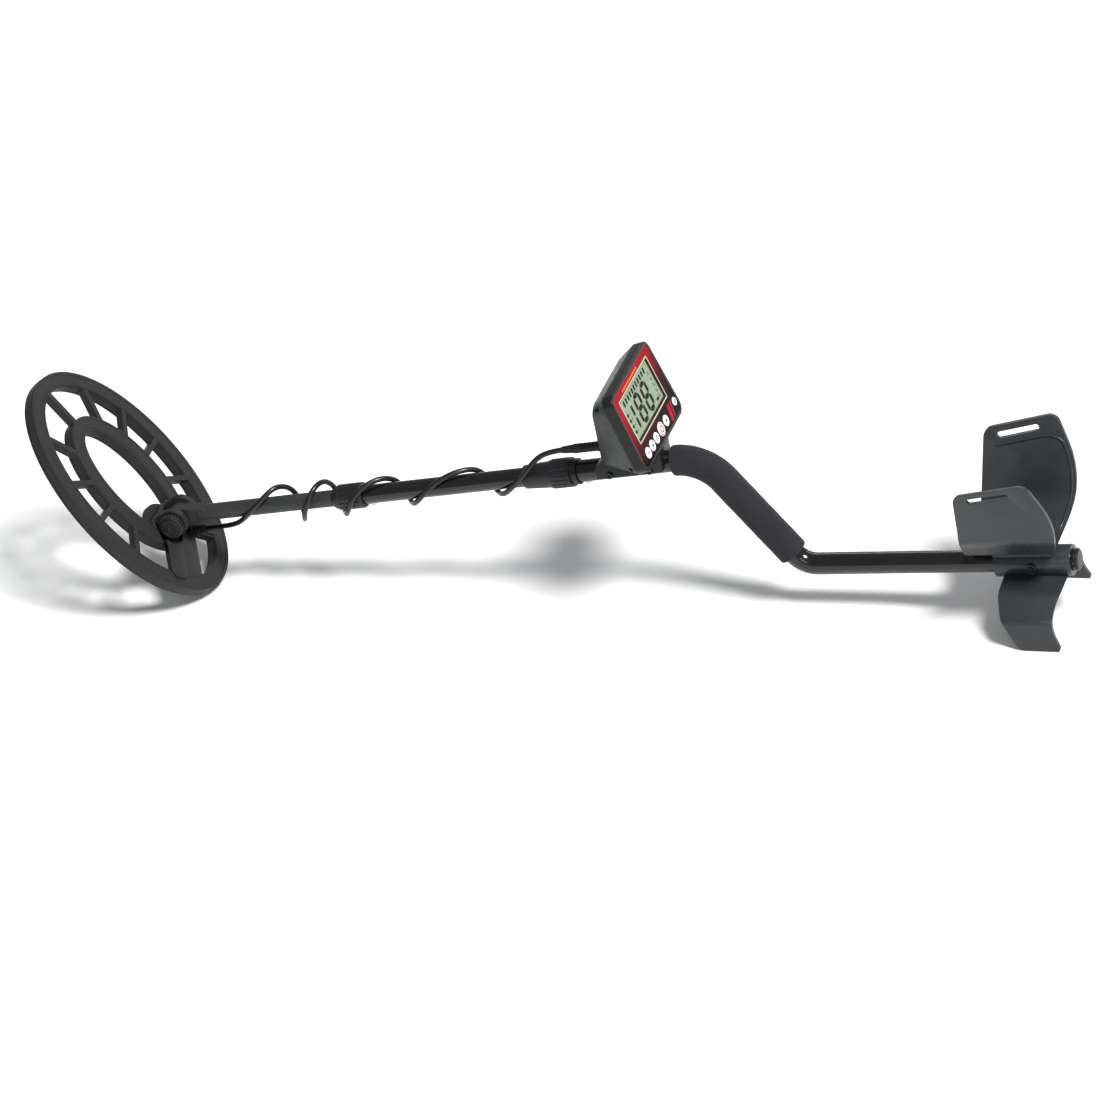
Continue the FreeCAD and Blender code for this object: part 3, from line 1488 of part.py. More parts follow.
def cable_section(label, points, first, last):
    """The tube along the corners first to last, ending half way along the runs beyond them."""
    count = len(points)
    start = points[0] if first == 1 else (points[first - 1] + points[first]) * 0.5
    end = points[-1] if last == count - 2 else (points[last] + points[last + 1]) * 0.5
    edges = []
    here = start
    radii = []
    for index in range(first, last + 1):
        enter, middle, leave, radius = corner_arc(points, index)
        edges.append(Part.LineSegment(here, enter).toShape())
        edges.append(Part.Arc(enter, middle, leave).toShape())
        radii.append(radius)
        here = leave
    edges.append(Part.LineSegment(here, end).toShape())
    path = Part.Wire(edges)
    circle_wire = Part.Wire(Part.makeCircle(dim("cable_radius"), start, path.Edges[0].tangentAt(0)))
    tube = path.makePipeShell([circle_wire], True, False)
    expected = path.Length * math.pi * dim("cable_radius") ** 2
    if abs(tube.Volume - expected) > 0.02 * expected:
        raise RuntimeError("%s holds %.0f and should hold %.0f" % (label, tube.Volume, expected))
    print(label, "length %.1f" % path.Length, "radii", " ".join("%.0f" % radius for radius in radii))
    solid_feature(label, tube, ROD)
    return path.Length


def build_cable():
    points = cable_points()
    first, second = CABLE_SPLITS
    total = cable_section("cable_front", points, 1, first)
    total += cable_section("cable_middle", points, first + 1, second)
    total += cable_section("cable_rear", points, second + 1, len(points) - 2)
    print("cable length %.0f" % total)


build_plug()
build_cable()


# ---------------------------------------------------------------- checks and files
doc.recompute()
for item in doc.Objects:
    if "Invalid" in item.State or "Error" in item.State:
        raise RuntimeError("%s failed: %s" % (item.Label, item.State))
for item in parts:
    if item.Shape.isNull() or not item.Shape.isValid():
        raise RuntimeError("%s has no valid shape" % item.Label)
for item in parts:
    item.Shape.exportStep("parts/%s.step" % item.Label)
print("sub-parts:", len(parts))
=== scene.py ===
import json
import math

import bmesh
import bpy
from mathutils import Matrix, Vector, noise

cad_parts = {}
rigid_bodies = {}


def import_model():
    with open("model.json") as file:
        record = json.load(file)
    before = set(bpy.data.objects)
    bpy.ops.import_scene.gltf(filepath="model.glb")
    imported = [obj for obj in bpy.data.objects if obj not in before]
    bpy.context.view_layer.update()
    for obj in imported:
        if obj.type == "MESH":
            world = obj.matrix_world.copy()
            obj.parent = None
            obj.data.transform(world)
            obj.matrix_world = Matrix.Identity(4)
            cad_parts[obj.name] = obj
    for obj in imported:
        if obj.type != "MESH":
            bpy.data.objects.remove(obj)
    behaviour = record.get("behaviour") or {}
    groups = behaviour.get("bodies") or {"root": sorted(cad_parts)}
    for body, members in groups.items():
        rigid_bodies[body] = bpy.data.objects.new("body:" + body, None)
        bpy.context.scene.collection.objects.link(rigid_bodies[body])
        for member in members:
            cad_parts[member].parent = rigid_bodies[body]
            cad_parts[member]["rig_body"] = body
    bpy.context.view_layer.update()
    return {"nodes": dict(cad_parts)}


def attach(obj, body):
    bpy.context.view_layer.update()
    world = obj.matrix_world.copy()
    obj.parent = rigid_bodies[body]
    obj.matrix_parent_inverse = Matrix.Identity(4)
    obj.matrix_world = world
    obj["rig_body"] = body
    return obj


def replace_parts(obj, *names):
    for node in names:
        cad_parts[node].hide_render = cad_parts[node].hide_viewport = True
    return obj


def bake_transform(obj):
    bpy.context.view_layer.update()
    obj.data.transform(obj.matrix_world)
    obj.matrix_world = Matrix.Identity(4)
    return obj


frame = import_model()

MM = 0.001
scene = bpy.context.scene


# ---------------------------------------------------------------- frames, from millimetres
def point(x, y=0.0, z=0.0):
    return Vector((x, y, z)) * MM


def place(x, z, pitch):
    """A frame in the plane of symmetry, turned down by its pitch in degrees."""
    return Matrix.Translation(point(x, 0, z)) @ Matrix.Rotation(math.radians(pitch), 4, "Y")


CENTRE_SHIFT = -385.7
COIL_PITCH = 56.0
COIL_HALF = 139.7
PIVOT_AHEAD = 58.0
PIVOT_ABOVE = 28.0
ROD_PITCH = -8.5
UPPER_BEND_AT = 586.0
SLOPE_LENGTH = 149.3
TAIL_PITCH = 5.44
FACE_LOW_X = 522.0
FACE_LOW_Z = 187.0
SLOPE = math.radians(-62.85)
LEAN = math.radians(18.0)

tilt = math.radians(COIL_PITCH)
COIL = place(CENTRE_SHIFT - COIL_HALF * math.cos(tilt), COIL_HALF * math.sin(tilt), COIL_PITCH)
PIVOT = COIL @ point(PIVOT_AHEAD, 0, PIVOT_ABOVE)
ROD = Matrix.Translation(PIVOT) @ Matrix.Rotation(math.radians(ROD_PITCH), 4, "Y")
LOWER_BEND = (UPPER_BEND_AT + SLOPE_LENGTH * math.cos(SLOPE), SLOPE_LENGTH * math.sin(SLOPE))
TAIL = ROD @ place(*LOWER_BEND, TAIL_PITCH)
FACE_X = Vector((0, 1, 0))
FACE_UP = Vector((-math.sin(LEAN), 0, math.cos(LEAN)))
FACE_OUT = Vector((math.cos(LEAN), 0, math.sin(LEAN)))
FACE_AT = point(FACE_LOW_X + CENTRE_SHIFT, 0, FACE_LOW_Z)
FACE = Matrix.Translation(FACE_AT) @ Matrix((FACE_X, FACE_UP, FACE_OUT)).transposed().to_4x4()


# ---------------------------------------------------------------- materials
class Paint:
    """A material's nodes, with short ways to add the ones used here."""

    def __init__(self, name):
        self.material = bpy.data.materials.new(name)
        self.material.use_nodes = True
        self.tree = self.material.node_tree
        self.tree.nodes.clear()
        self.coords = self.add("ShaderNodeTexCoord").outputs["Object"]
        self.shader = self.add("ShaderNodeBsdfPrincipled")
        self.output = self.add("ShaderNodeOutputMaterial")
        self.link(self.shader.outputs[0], self.output.inputs["Surface"])

    def add(self, kind, inputs=(), **settings):
        node = self.tree.nodes.new(kind)
        for key, value in settings.items():
            setattr(node, key, value)
        for key, value in dict(inputs).items():
            self.feed(node.inputs[key], value)
        return node

    def link(self, source, target):
        self.tree.links.new(source, target)

    def feed(self, socket, value):
        if isinstance(value, bpy.types.NodeSocket):
            self.link(value, socket)
        else:
            socket.default_value = value

    def noise(self, size_mm, detail=2.0, stretch=None):
        """Noise whose lumps are about this many millimetres across."""
        vector = self.coords
        if stretch:
            vector = self.add("ShaderNodeMapping", {"Vector": vector, "Scale": stretch}).outputs[0]
        inputs = {"Vector": vector, "Scale": 1 / (size_mm * MM), "Detail": detail}
        return self.add("ShaderNodeTexNoise", inputs).outputs[0]

    def ranged(self, value, low, high, start=0.0, end=1.0):
        inputs = {0: value, 1: low, 2: high, 3: start, 4: end}
        return self.add("ShaderNodeMapRange", inputs).outputs[0]

    def mix(self, factor, first, second):
        node = self.add("ShaderNodeMix", data_type="RGBA")
        for index, value in ((0, factor), (6, first), (7, second)):
            self.feed(node.inputs[index], value)
        return node.outputs[2]

    def math(self, operation, first, second):
        return self.add("ShaderNodeMath", {0: first, 1: second}, operation=operation).outputs[0]

    def bump(self, height, depth_mm, strength=1.0, normal=None):
        inputs = {"Height": height, "Distance": depth_mm * MM, "Strength": strength}
        node = self.add("ShaderNodeBump", inputs)
        if normal is not None:
            self.link(normal, node.inputs["Normal"])
        return node.outputs[0]

    def round_edges(self, radius_mm):
        """Normals that round a sharp edge, and how near an edge is, from 0 to 1."""
        bevel = self.add("ShaderNodeBevel", {"Radius": radius_mm * MM}, samples=4)
        plain = self.add("ShaderNodeNewGeometry").outputs["Normal"]
        dot = self.add("ShaderNodeVectorMath", {0: bevel.outputs[0], 1: plain}, operation="DOT_PRODUCT")
        return bevel.outputs[0], self.ranged(dot.outputs["Value"], 1.0, 0.86)


def shade(colour, factor):
    return tuple(min(1.0, part * factor) for part in colour[:3]) + (1.0,)


def moulded(name, colour, roughness, grain_mm=0.7, grain_depth=0.05, mottle=0.15, edge_mm=0.6, wear=0.6,
            metallic=0.0, coat=0.0, specular=0.5, streaks=None):
    """Plastic, rubber or metal with a fine surface grain, slight mottling and paler, smoother edges."""
    paint = Paint(name)
    cloudy = paint.noise(28, 3.0)
    body = paint.mix(cloudy, shade(colour, 1 - mottle), shade(colour, 1 + mottle))
    if streaks:
        fine = paint.ranged(paint.noise(3.0, 3.0, streaks), 0.35, 0.65)
        body = paint.mix(paint.math("MULTIPLY", fine, 0.4), body, shade(colour, 1.5))
    rounded, near_edge = paint.round_edges(edge_mm)
    scuffs = paint.ranged(paint.noise(2.4, 4.0), 0.38, 0.66)
    worn = paint.math("MULTIPLY", paint.math("MULTIPLY", near_edge, scuffs), wear)
    paint.feed(paint.shader.inputs["Base Color"], paint.mix(worn, body, shade(colour, 1.9)))
    rough = paint.ranged(paint.noise(9, 4.0), 0.3, 0.7, max(0.02, roughness - 0.06), roughness + 0.07)
    paint.feed(paint.shader.inputs["Roughness"], rough)
    grain = paint.bump(paint.noise(grain_mm, 2.0), grain_depth, 0.6, rounded)
    paint.feed(paint.shader.inputs["Normal"], grain)
    paint.shader.inputs["Metallic"].default_value = metallic
    paint.shader.inputs["Coat Weight"].default_value = coat
    paint.shader.inputs["Coat Roughness"].default_value = 0.12
    paint.shader.inputs["Specular IOR Level"].default_value = specular
    return paint.material


def foam_paint():
    """Closed-cell foam: many fine pores of two sizes in a dull skin, with painted shade in the pores."""
    paint = Paint("foam_skin")
    colour = (0.011, 0.0115, 0.015, 1.0)
    pores = paint.add("ShaderNodeTexVoronoi", {"Vector": paint.coords, "Scale": 1 / (1.5 * MM)}, feature="F1")
    fine = paint.noise(0.8, 3.0)
    pits = paint.ranged(pores.outputs["Distance"], 0.12, 0.42)
    # the pores' pits are painted darker than the skin: painted shade in the hollows
    body = paint.mix(pits, shade(colour, 0.35), shade(colour, 1.5))
    cloudy = paint.mix(paint.ranged(paint.noise(22, 3.0), 0.35, 0.65), shade(colour, 0.8), shade(colour, 1.5))
    paint.feed(paint.shader.inputs["Base Color"], paint.mix(0.45, body, cloudy))
    paint.feed(paint.shader.inputs["Roughness"], paint.ranged(fine, 0.2, 0.8, 0.72, 0.95))
    height = paint.math("ADD", paint.math("MULTIPLY", pits, 0.8), paint.math("MULTIPLY", fine, 0.5))
    paint.feed(paint.shader.inputs["Normal"], paint.bump(height, 0.28, 0.9))
    paint.shader.inputs["Sheen Weight"].default_value = 0.08
    paint.shader.inputs["Sheen Roughness"].default_value = 0.6
    return paint.material


def along_face(paint, direction):
    """Distance from the face's lower edge in one direction, in metres."""
    offset = paint.add("ShaderNodeVectorMath", {0: paint.coords, 1: FACE_AT}, operation="SUBTRACT")
    dot = paint.add("ShaderNodeVectorMath", {0: offset.outputs[0], 1: direction}, operation="DOT_PRODUCT")
    return dot.outputs["Value"]


def panel_paint():
    """Glossy overlay that shades from red at the top and on the left to black at the lower right."""
    paint = Paint("overlay")
    up = along_face(paint, FACE_UP)
    across = along_face(paint, FACE_X)
    slanted = paint.math("SUBTRACT", up, paint.math("MULTIPLY", across, 0.27))
    grain = paint.math("MULTIPLY", paint.noise(6, 4.0), 0.008)
    share = paint.ranged(paint.math("ADD", slanted, grain), 0.020, 0.082)
    dark = paint.mix(paint.ranged(share, 0.0, 0.45), (0.006, 0.005, 0.006, 1), (0.08, 0.001, 0.006, 1))
    red = paint.mix(paint.ranged(share, 0.35, 1.0), dark, (0.34, 0.003, 0.020, 1))
    paint.feed(paint.shader.inputs["Base Color"], red)
    paint.feed(paint.shader.inputs["Roughness"], paint.ranged(paint.noise(12, 4.0), 0.3, 0.7, 0.30, 0.42))
    paint.feed(paint.shader.inputs["Normal"], paint.bump(paint.noise(1.2, 2.0), 0.02, 0.3))
    paint.shader.inputs["Specular IOR Level"].default_value = 0.08
    return paint.material


def lcd_paint():
    """Reflective display: greenish grey with a faint grid of cells."""
    paint = Paint("display_glass")
    grid = 0
    for direction in (FACE_X, FACE_UP):
        share = paint.math("FRACT", paint.math("MULTIPLY", along_face(paint, direction), 1 / (1.1 * MM)), 0)
        line = paint.ranged(share, 0.86, 0.98)
        grid = line if grid == 0 else paint.math("MAXIMUM", grid, line)
    cloudy = paint.mix(paint.noise(18, 3.0), (0.30, 0.345, 0.265, 1), (0.37, 0.405, 0.32, 1))
    colour = paint.mix(paint.math("MULTIPLY", grid, 0.22), cloudy, (0.22, 0.26, 0.20, 1))
    paint.feed(paint.shader.inputs["Base Color"], colour)
    paint.feed(paint.shader.inputs["Roughness"], paint.ranged(paint.noise(7), 0.3, 0.7, 0.32, 0.42))
    return paint.material


def clear_paint():
    """A thin clear window: light goes straight through, and its surface only reflects."""
    paint = Paint("clear_window")
    through = paint.add("ShaderNodeBsdfTransparent", {"Color": (0.93, 0.96, 0.93, 1)})
    gloss = paint.add("ShaderNodeBsdfGlossy")
    paint.feed(gloss.inputs["Roughness"], paint.ranged(paint.noise(10, 3.0), 0.3, 0.7, 0.05, 0.12))
    facing = paint.add("ShaderNodeLayerWeight", {"Blend": 0.3}).outputs["Facing"]
    share = paint.ranged(facing, 0.3, 1.0, 0.012, 0.12)
    both = paint.add("ShaderNodeMixShader", {0: share, 1: through.outputs[0], 2: gloss.outputs[0]})
    paint.link(both.outputs[0], paint.output.inputs["Surface"])
    paint.tree.nodes.remove(paint.shader)
    return paint.material


def winding_paint():
    """Enamelled copper: fine turns side by side, with painted shade in the grooves between them."""
    paint = Paint("enamelled_copper")
    inputs = {"Vector": paint.coords, "Scale": 900.0, "Distortion": 1.0}
    wires = paint.add("ShaderNodeTexWave", inputs, bands_direction="Z")
    # the grooves between the turns are painted a darker copper: painted shade between the wires
    copper = paint.mix(wires.outputs[1], (0.25, 0.07, 0.02, 1), (0.62, 0.26, 0.10, 1))
    paint.feed(paint.shader.inputs["Base Color"], copper)
    paint.feed(paint.shader.inputs["Normal"], paint.bump(wires.outputs[1], 0.1))
    paint.shader.inputs["Metallic"].default_value = 0.8
    paint.shader.inputs["Roughness"].default_value = 0.35
    return paint.material


COIL_GREY = (0.028, 0.029, 0.028)
POD_GREY = (0.016, 0.020, 0.018)
PAINTS = {
    "coil": moulded("coil_plastic", COIL_GREY, 0.50, 0.8, 0.07, specular=0.35),
    "stem": moulded("stem_composite", (0.036, 0.037, 0.038), 0.46, 0.5, 0.05, streaks=(0.05, 1, 1)),
    "tube": moulded("gloss_tube", (0.010, 0.010, 0.011), 0.22, 2.5, 0.006, wear=0.0, coat=0.5),
    "black": moulded("black_plastic", (0.017, 0.0175, 0.019), 0.36, 0.6, 0.05),
    "rubber": moulded("black_rubber", (0.015, 0.015, 0.015), 0.55, 0.5, 0.05, wear=0.3),
    "pod": moulded("pod_plastic", POD_GREY, 0.34, 0.7, 0.03, coat=0.05, wear=0.5, specular=0.35),
    "arm": moulded("armrest_plastic", (0.040, 0.043, 0.046), 0.33, 1.0, 0.04, wear=1.0, coat=0.15),
    "steel": moulded("satin_steel", (0.56, 0.56, 0.57), 0.28, 0.3, 0.02, metallic=1.0, streaks=(0.1, 1, 1)),
    "dark_steel": moulded("blackened_steel", (0.05, 0.05, 0.052), 0.35, 0.3, 0.02, metallic=1.0),
    "brass": moulded("spring_brass", (0.62, 0.44, 0.16), 0.3, 0.3, 0.02, metallic=1.0),
    "board": moulded("circuit_board", (0.012, 0.10, 0.04), 0.4, 1.4, 0.06),
    "battery": moulded("battery_case", (0.06, 0.06, 0.065), 0.3, 0.8, 0.03, metallic=0.5),
    "cable": moulded("cable_jacket", (0.013, 0.013, 0.0135), 0.34, 0.5, 0.03, wear=0.2, coat=0.2),
    "key": moulded("white_key", (0.80, 0.79, 0.77), 0.42, 0.5, 0.03, 0.03, 0.4, 0.0),
    "ink": moulded("display_ink", (0.004, 0.005, 0.004), 0.6, 0.4, 0.01, wear=0.0, specular=0.1),
    "glyph": moulded("key_glyph", (0.02, 0.02, 0.025), 0.5, 0.4, 0.01, wear=0.0, specular=0.2),
    "ring": moulded("key_ring", (0.42, 0.02, 0.05), 0.4, 0.4, 0.02, wear=0.0),
    "edge": moulded("display_edge", (0.52, 0.47, 0.33), 0.4, 0.5, 0.02, wear=0.0),
    "gold": moulded("gold_stripe", (0.80, 0.24, 0.03), 0.35, 0.5, 0.02, wear=0.0),
    "accent": moulded("red_accent", (0.42, 0.008, 0.035), 0.4, 0.5, 0.02, wear=0.0, specular=0.1),
    "foam": foam_paint(),
    "panel": panel_paint(),
    "lcd": lcd_paint(),
    "clear": clear_paint(),
    "copper": winding_paint(),
}


# ---------------------------------------------------------------- building helpers
def finished(name, mesh, paint, body, smooth=35.0):
    """Names, paints and shades a mesh, and lets it ride on a body."""
    mesh.materials.clear()
    mesh.materials.append(PAINTS[paint])
    piece = bpy.data.objects.new(name, mesh)
    scene.collection.objects.link(piece)
    mesh.shade_smooth()
    mesh.set_sharp_from_angle(angle=math.radians(smooth))
    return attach(piece, body) if body else piece


def modified(mesh, *modifiers):
    """The mesh with modifiers applied; each is a kind and its settings."""
    helper = bpy.data.objects.new("helper", mesh)
    scene.collection.objects.link(helper)
    for kind, settings in modifiers:
        modifier = helper.modifiers.new(kind.lower(), kind)
        for key, value in settings.items():
            setattr(modifier, key, value)
    graph = bpy.context.evaluated_depsgraph_get()
    result = bpy.data.meshes.new_from_object(helper.evaluated_get(graph))
    bpy.data.objects.remove(helper)
    return result


def rounding(width_mm, segments=3):
    """A bevel of this width on every edge sharper than 30 degrees."""
    return "BEVEL", {
        "width": width_mm * MM,
        "segments": segments,
        "limit_method": "ANGLE",
        "angle_limit": math.radians(30.0),
        "use_clamp_overlap": True,
        "miter_outer": "MITER_ARC",
    }


def softened(node, name, paint, width_mm):
    """A moulded piece in place of a CAD node: the same shape with its edges rounded over."""
    source = frame["nodes"][node]
    shape = bmesh.new()
    shape.from_mesh(source.data)
    bmesh.ops.remove_doubles(shape, verts=shape.verts, dist=2e-6)
    bmesh.ops.dissolve_limit(shape, angle_limit=math.radians(0.6), verts=shape.verts, edges=shape.edges)
    mesh = bpy.data.meshes.new(name)
    shape.to_mesh(mesh)
    shape.free()
    piece = finished(name, modified(mesh, rounding(width_mm)), paint, source["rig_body"])
    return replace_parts(piece, node)


def as_mesh(shape, name):
    """The mesh of a built shape, with its faces turned outwards."""
    bmesh.ops.recalc_face_normals(shape, faces=shape.faces)
    mesh = bpy.data.meshes.new(name)
    shape.to_mesh(mesh)
    shape.free()
    return mesh


def bands(shape, loops):
    """Joins each loop of points to the next one."""
    for first, second in zip(loops, loops[1:]):
        for i in range(len(first)):
            j = (i + 1) % len(first)
            shape.faces.new((first[i], first[j], second[j], second[i]))


def swept(name, path, radii, paint, body, sides=32, wobble=0.0, hollow=False):
    """A tube along a path; radii gives (distance along the path, radius) pairs, one for each ring.

    A hollow tube's last ring joins its first; a solid one is capped."""
    lengths = [0.0]
    for first, second in zip(path, path[1:]):
        lengths.append(lengths[-1] + (second - first).length)

    def at(distance):
        distance = min(max(distance, 0.0), lengths[-1])
        index = max(i for i in range(len(path) - 1) if lengths[i] <= distance)
        share = (distance - lengths[index]) / max(1e-9, lengths[index + 1] - lengths[index])
        return path[index].lerp(path[index + 1], share), (path[index + 1] - path[index]).normalized()

    shape = bmesh.new()
    rings = []
    normal = None
    for distance, radius in radii:
        centre, direction = at(distance)
        if normal is None:
            normal = direction.orthogonal().normalized()
        normal = (normal - direction * normal.dot(direction)).normalized()
        side = direction.cross(normal)
        ring = []
        for i in range(sides):
            angle = 2 * math.pi * i / sides
            spoke = normal * math.cos(angle) + side * math.sin(angle)
            spot = centre + spoke * radius
            if wobble:
                spot += spoke * wobble * noise.noise(spot / (9 * MM))
            ring.append(shape.verts.new(spot))
        rings.append(ring)
    bands(shape, rings + [rings[0]] if hollow else rings)
    if not hollow:
        shape.faces.new(rings[0][::-1])
        shape.faces.new(rings[-1])
    return finished(name, as_mesh(shape, name), paint, body, 50.0)


def plates(name, outlines, frame_matrix, low_mm, high_mm, paint, body, soft_mm=0.0):
    """Flat raised shapes on a plane; each outline is a list of points in millimetres."""
    shape = bmesh.new()
    for outline in outlines:
        rows = []
        for height in (low_mm, high_mm):
            rows.append([shape.verts.new(frame_matrix @ point(x, y, height)) for x, y in outline])
        shape.faces.new(rows[0][::-1])
        shape.faces.new(rows[1])
        bands(shape, rows)
    mesh = as_mesh(shape, name)
    if soft_mm:
        mesh = modified(mesh, rounding(soft_mm, 2))
    return finished(name, mesh, paint, body)


def ring_plate(name, outer, inner, frame_matrix, low_mm, high_mm, paint, body, soft_mm=0.0):
    """A flat band between two outlines with the same number of points."""
    shape = bmesh.new()
    loops = []
    for outline, height in ((outer, low_mm), (outer, high_mm), (inner, high_mm), (inner, low_mm)):
        loops.append([shape.verts.new(frame_matrix @ point(x, y, height)) for x, y in outline])
    bands(shape, loops + loops[:1])
    mesh = as_mesh(shape, name)
    if soft_mm:
        mesh = modified(mesh, rounding(soft_mm, 2))
    return finished(name, mesh, paint, body)


def ellipse(half_x, half_y, count=96, x=0.0, y=0.0):
    turns = [2 * math.pi * i / count for i in range(count)]
    return [(x + half_x * math.cos(turn), y + half_y * math.sin(turn)) for turn in turns]


def slab(left, right, bottom, top, radius=0.6, slant=0.0):
    """A rectangle with rounded corners, leaning to the right by the slant."""
    outline = []
    for x, y, first in ((right, top, 0), (left, top, 90), (left, bottom, 180), (right, bottom, 270)):
        middle_x = x - math.copysign(radius, x - (left + right) / 2)
        middle_y = y - math.copysign(radius, y - (bottom + top) / 2)
        for step in range(5):
            angle = math.radians(first + 22.5 * step)
            spot_y = middle_y + radius * math.sin(angle)
            outline.append((middle_x + radius * math.cos(angle) + slant * (spot_y - bottom), spot_y))
    return outline


# ---------------------------------------------------------------- paint for the CAD nodes that stay
NODE_PAINTS = {
    "coil": ["coil_bottom_cover"],
    "copper": ["transmit_winding", "receive_winding"],
    "rubber": ["pivot_washers", "coil_cable_gland"],
    "stem": ["lower_stem"],
    "tube": ["middle_stem", "s_rod"],
    "black": ["pivot_bolt", "lower_collet", "upper_collet", "rod_end_cap", "speaker", "stand_screw"],
    "dark_steel": ["coil_cover_screws", "saddle_screws", "pod_screws", "armrest_bolt"],
    "steel": [
        "lower_spring_button", "upper_spring_button", "lower_button_spring", "upper_button_spring",
        "armrest_nut",
    ],
    "brass": ["battery_contacts"],
    "board": ["main_circuit_board", "key_board"],
    "battery": ["battery"],
    "lcd": ["lcd_module"],
    "clear": ["lcd_window"],
    "panel": ["face_panel"],
    "key": ["minus_key", "plus_key", "menu_key", "pinpoint_key", "mode_key", "power_key"],
}
for paint, names in NODE_PAINTS.items():
    for name in names:
        node = frame["nodes"][name]
        node.data.materials.clear()
        node.data.materials.append(PAINTS[paint])

# moulded shells whose edges are rounded over: CAD node, piece, paint and width in millimetres
for node, name, paint, width in (
    ("coil_housing", "coil_shell", "coil", 1.3),
    ("pivot_knob", "tilt_knob", "black", 0.5),
    ("lower_lock_collar", "lower_collar_shell", "black", 0.5),
    ("upper_lock_collar", "upper_collar_shell", "black", 0.5),
    ("pod_rear_housing", "pod_back_shell", "pod", 0.7),
    ("pod_front_housing", "pod_front_shell", "pod", 0.4),
    ("pod_saddle", "pod_pedestal", "pod", 1.2),
    ("battery_door", "battery_hatch", "pod", 0.4),
    ("cable_socket", "cable_socket_collar", "black", 0.4),
    ("headphone_jack", "headphone_socket_collar", "black", 0.4),
    ("cable_plug", "cable_plug_grip", "rubber", 0.3),
    ("armrest", "armrest_cradle", "arm", 1.4),
    ("stand", "stand_legs", "arm", 1.6),
):
    softened(node, name, paint, width)


# ---------------------------------------------------------------- foam grip
GRIP_START = 554.5
GRIP_SLOPE_LENGTH = 134.0
GRIP_RADIUS = 15.45
GRIP_BORE = 11.2
GRIP_CORNER = 2.4
BEND_RADIUS = 50.0
BEND_STEPS = 32
CORNER_STEPS = 6
OUTER_STEPS = 170
BORE_STEPS = 40
SKIN_WOBBLE = 0.18


def grip_path():
    """The grip's middle line: a short run, the bend and the slope."""
    turn = abs(SLOPE)
    bend_start = UPPER_BEND_AT - BEND_RADIUS * math.tan(turn / 2)
    spots = [Vector((GRIP_START, 0, 0)), Vector((bend_start, 0, 0))]
    for step in range(1, BEND_STEPS + 1):
        angle = turn * step / BEND_STEPS
        along = bend_start + BEND_RADIUS * math.sin(angle)
        spots.append(Vector((along, 0, -BEND_RADIUS * (1 - math.cos(angle)))))
    end = UPPER_BEND_AT + GRIP_SLOPE_LENGTH * math.cos(SLOPE)
    spots.append(Vector((end, 0, GRIP_SLOPE_LENGTH * math.sin(SLOPE))))
    return [ROD @ (spot * MM) for spot in spots]


def build_grip():
    """A foam sleeve with rounded ends: out over one end, along its skin, and back through its bore."""
    path = grip_path()
    length = sum((b - a).length for a, b in zip(path, path[1:]))
    outer, bore, corner = GRIP_RADIUS * MM, GRIP_BORE * MM, GRIP_CORNER * MM
    rounded = []
    for step in range(1, CORNER_STEPS + 1):
        angle = math.radians(90 * step / CORNER_STEPS)
        rounded.append((corner * (1 - math.cos(angle)), outer - corner + corner * math.sin(angle)))
    rings = [(0.0, bore), (0.0, outer - corner)] + rounded
    for step in range(1, OUTER_STEPS):
        rings.append((corner + (length - 2 * corner) * step / OUTER_STEPS, outer))
    rings += [(length - inset, radius) for inset, radius in reversed(rounded)]
    rings += [(length, outer - corner), (length, bore)]
    rings += [(length * (1 - step / BORE_STEPS), bore) for step in range(1, BORE_STEPS)]
    grip = swept("grip_sleeve", path, rings, "foam", "handle", 96, SKIN_WOBBLE * MM, hollow=True)
    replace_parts(grip, "foam_grip")


build_grip()


# ---------------------------------------------------------------- cable
CABLE_RADIUS = 2.7
# each spot: along the rod, degrees round it, and out from its middle
CABLE_TURNS = (
    (86, 90, 15.0), (104, 140, 17.0), (118, 192, 20.2), (127, 255, 20.6), (134, 322, 20.8),
    (142, 382, 20.6), (152, 446, 20.4), (162, 503, 20.0), (169, 556, 19.8), (173, 612, 19.4),
    (178, 672, 19.2), (187, 728, 19.4), (197, 782, 19.2), (208, 832, 18.8), (222, 874, 17.0),
    (237, 918, 15.6), (247, 975, 15.4), (254, 1032, 15.6), (263, 1088, 15.6), (274, 1138, 15.4),
    (288, 1184, 15.2), (305, 1226, 15.0), (324, 1264, 15.0), (338, 1318, 15.4), (347, 1374, 15.6),
    (357, 1432, 15.6), (369, 1482, 15.6), (383, 1524, 15.6), (399, 1566, 18.0),
)
CABLE_START = ((17.26, 15, -27.78), (26.26, 15, -27.55))
CABLE_FIRST_TURN = (66, 22, 15.6)
CABLE_END = ((415, -5, 23.5), (430, -0.6, 26), (442, 0, 26))
COIL_TO_LOWER = (20, 118)
LOWER_TO_MIDDLE = (122, 228)
MIDDLE_TO_HANDLE = (234, 424)


def on_turn(along, turn, radius):
    """A point beside the rod; a turn of 0 degrees is below it."""
    angle = math.radians(turn)
    return along, -radius * math.sin(angle), -radius * math.cos(angle)


def cable_line():
    """The smooth line of the whole cable, from the coil's gland to its plug."""
    spots = list(CABLE_START) + [on_turn(*CABLE_FIRST_TURN)]
    spots += [on_turn(*turn) for turn in CABLE_TURNS] + list(CABLE_END)
    curve = bpy.data.curves.new("cable_line", "CURVE")
    curve.dimensions = "3D"
    curve.resolution_u = 16
    spline = curve.splines.new("NURBS")
    spline.points.add(len(spots) - 1)
    for spot, knot in zip(spots, spline.points):
        knot.co = (*(ROD @ point(*spot)), 1.0)
    spline.order_u = 3
    spline.use_endpoint_u = True
    helper = bpy.data.objects.new("cable_line", curve)
    scene.collection.objects.link(helper)
    graph = bpy.context.evaluated_depsgraph_get()
    line = bpy.data.meshes.new_from_object(helper.evaluated_get(graph))
    path = [vertex.co.copy() for vertex in line.vertices]
    bpy.data.objects.remove(helper)
    return path, [ROD @ point(*spot) for spot in spots]


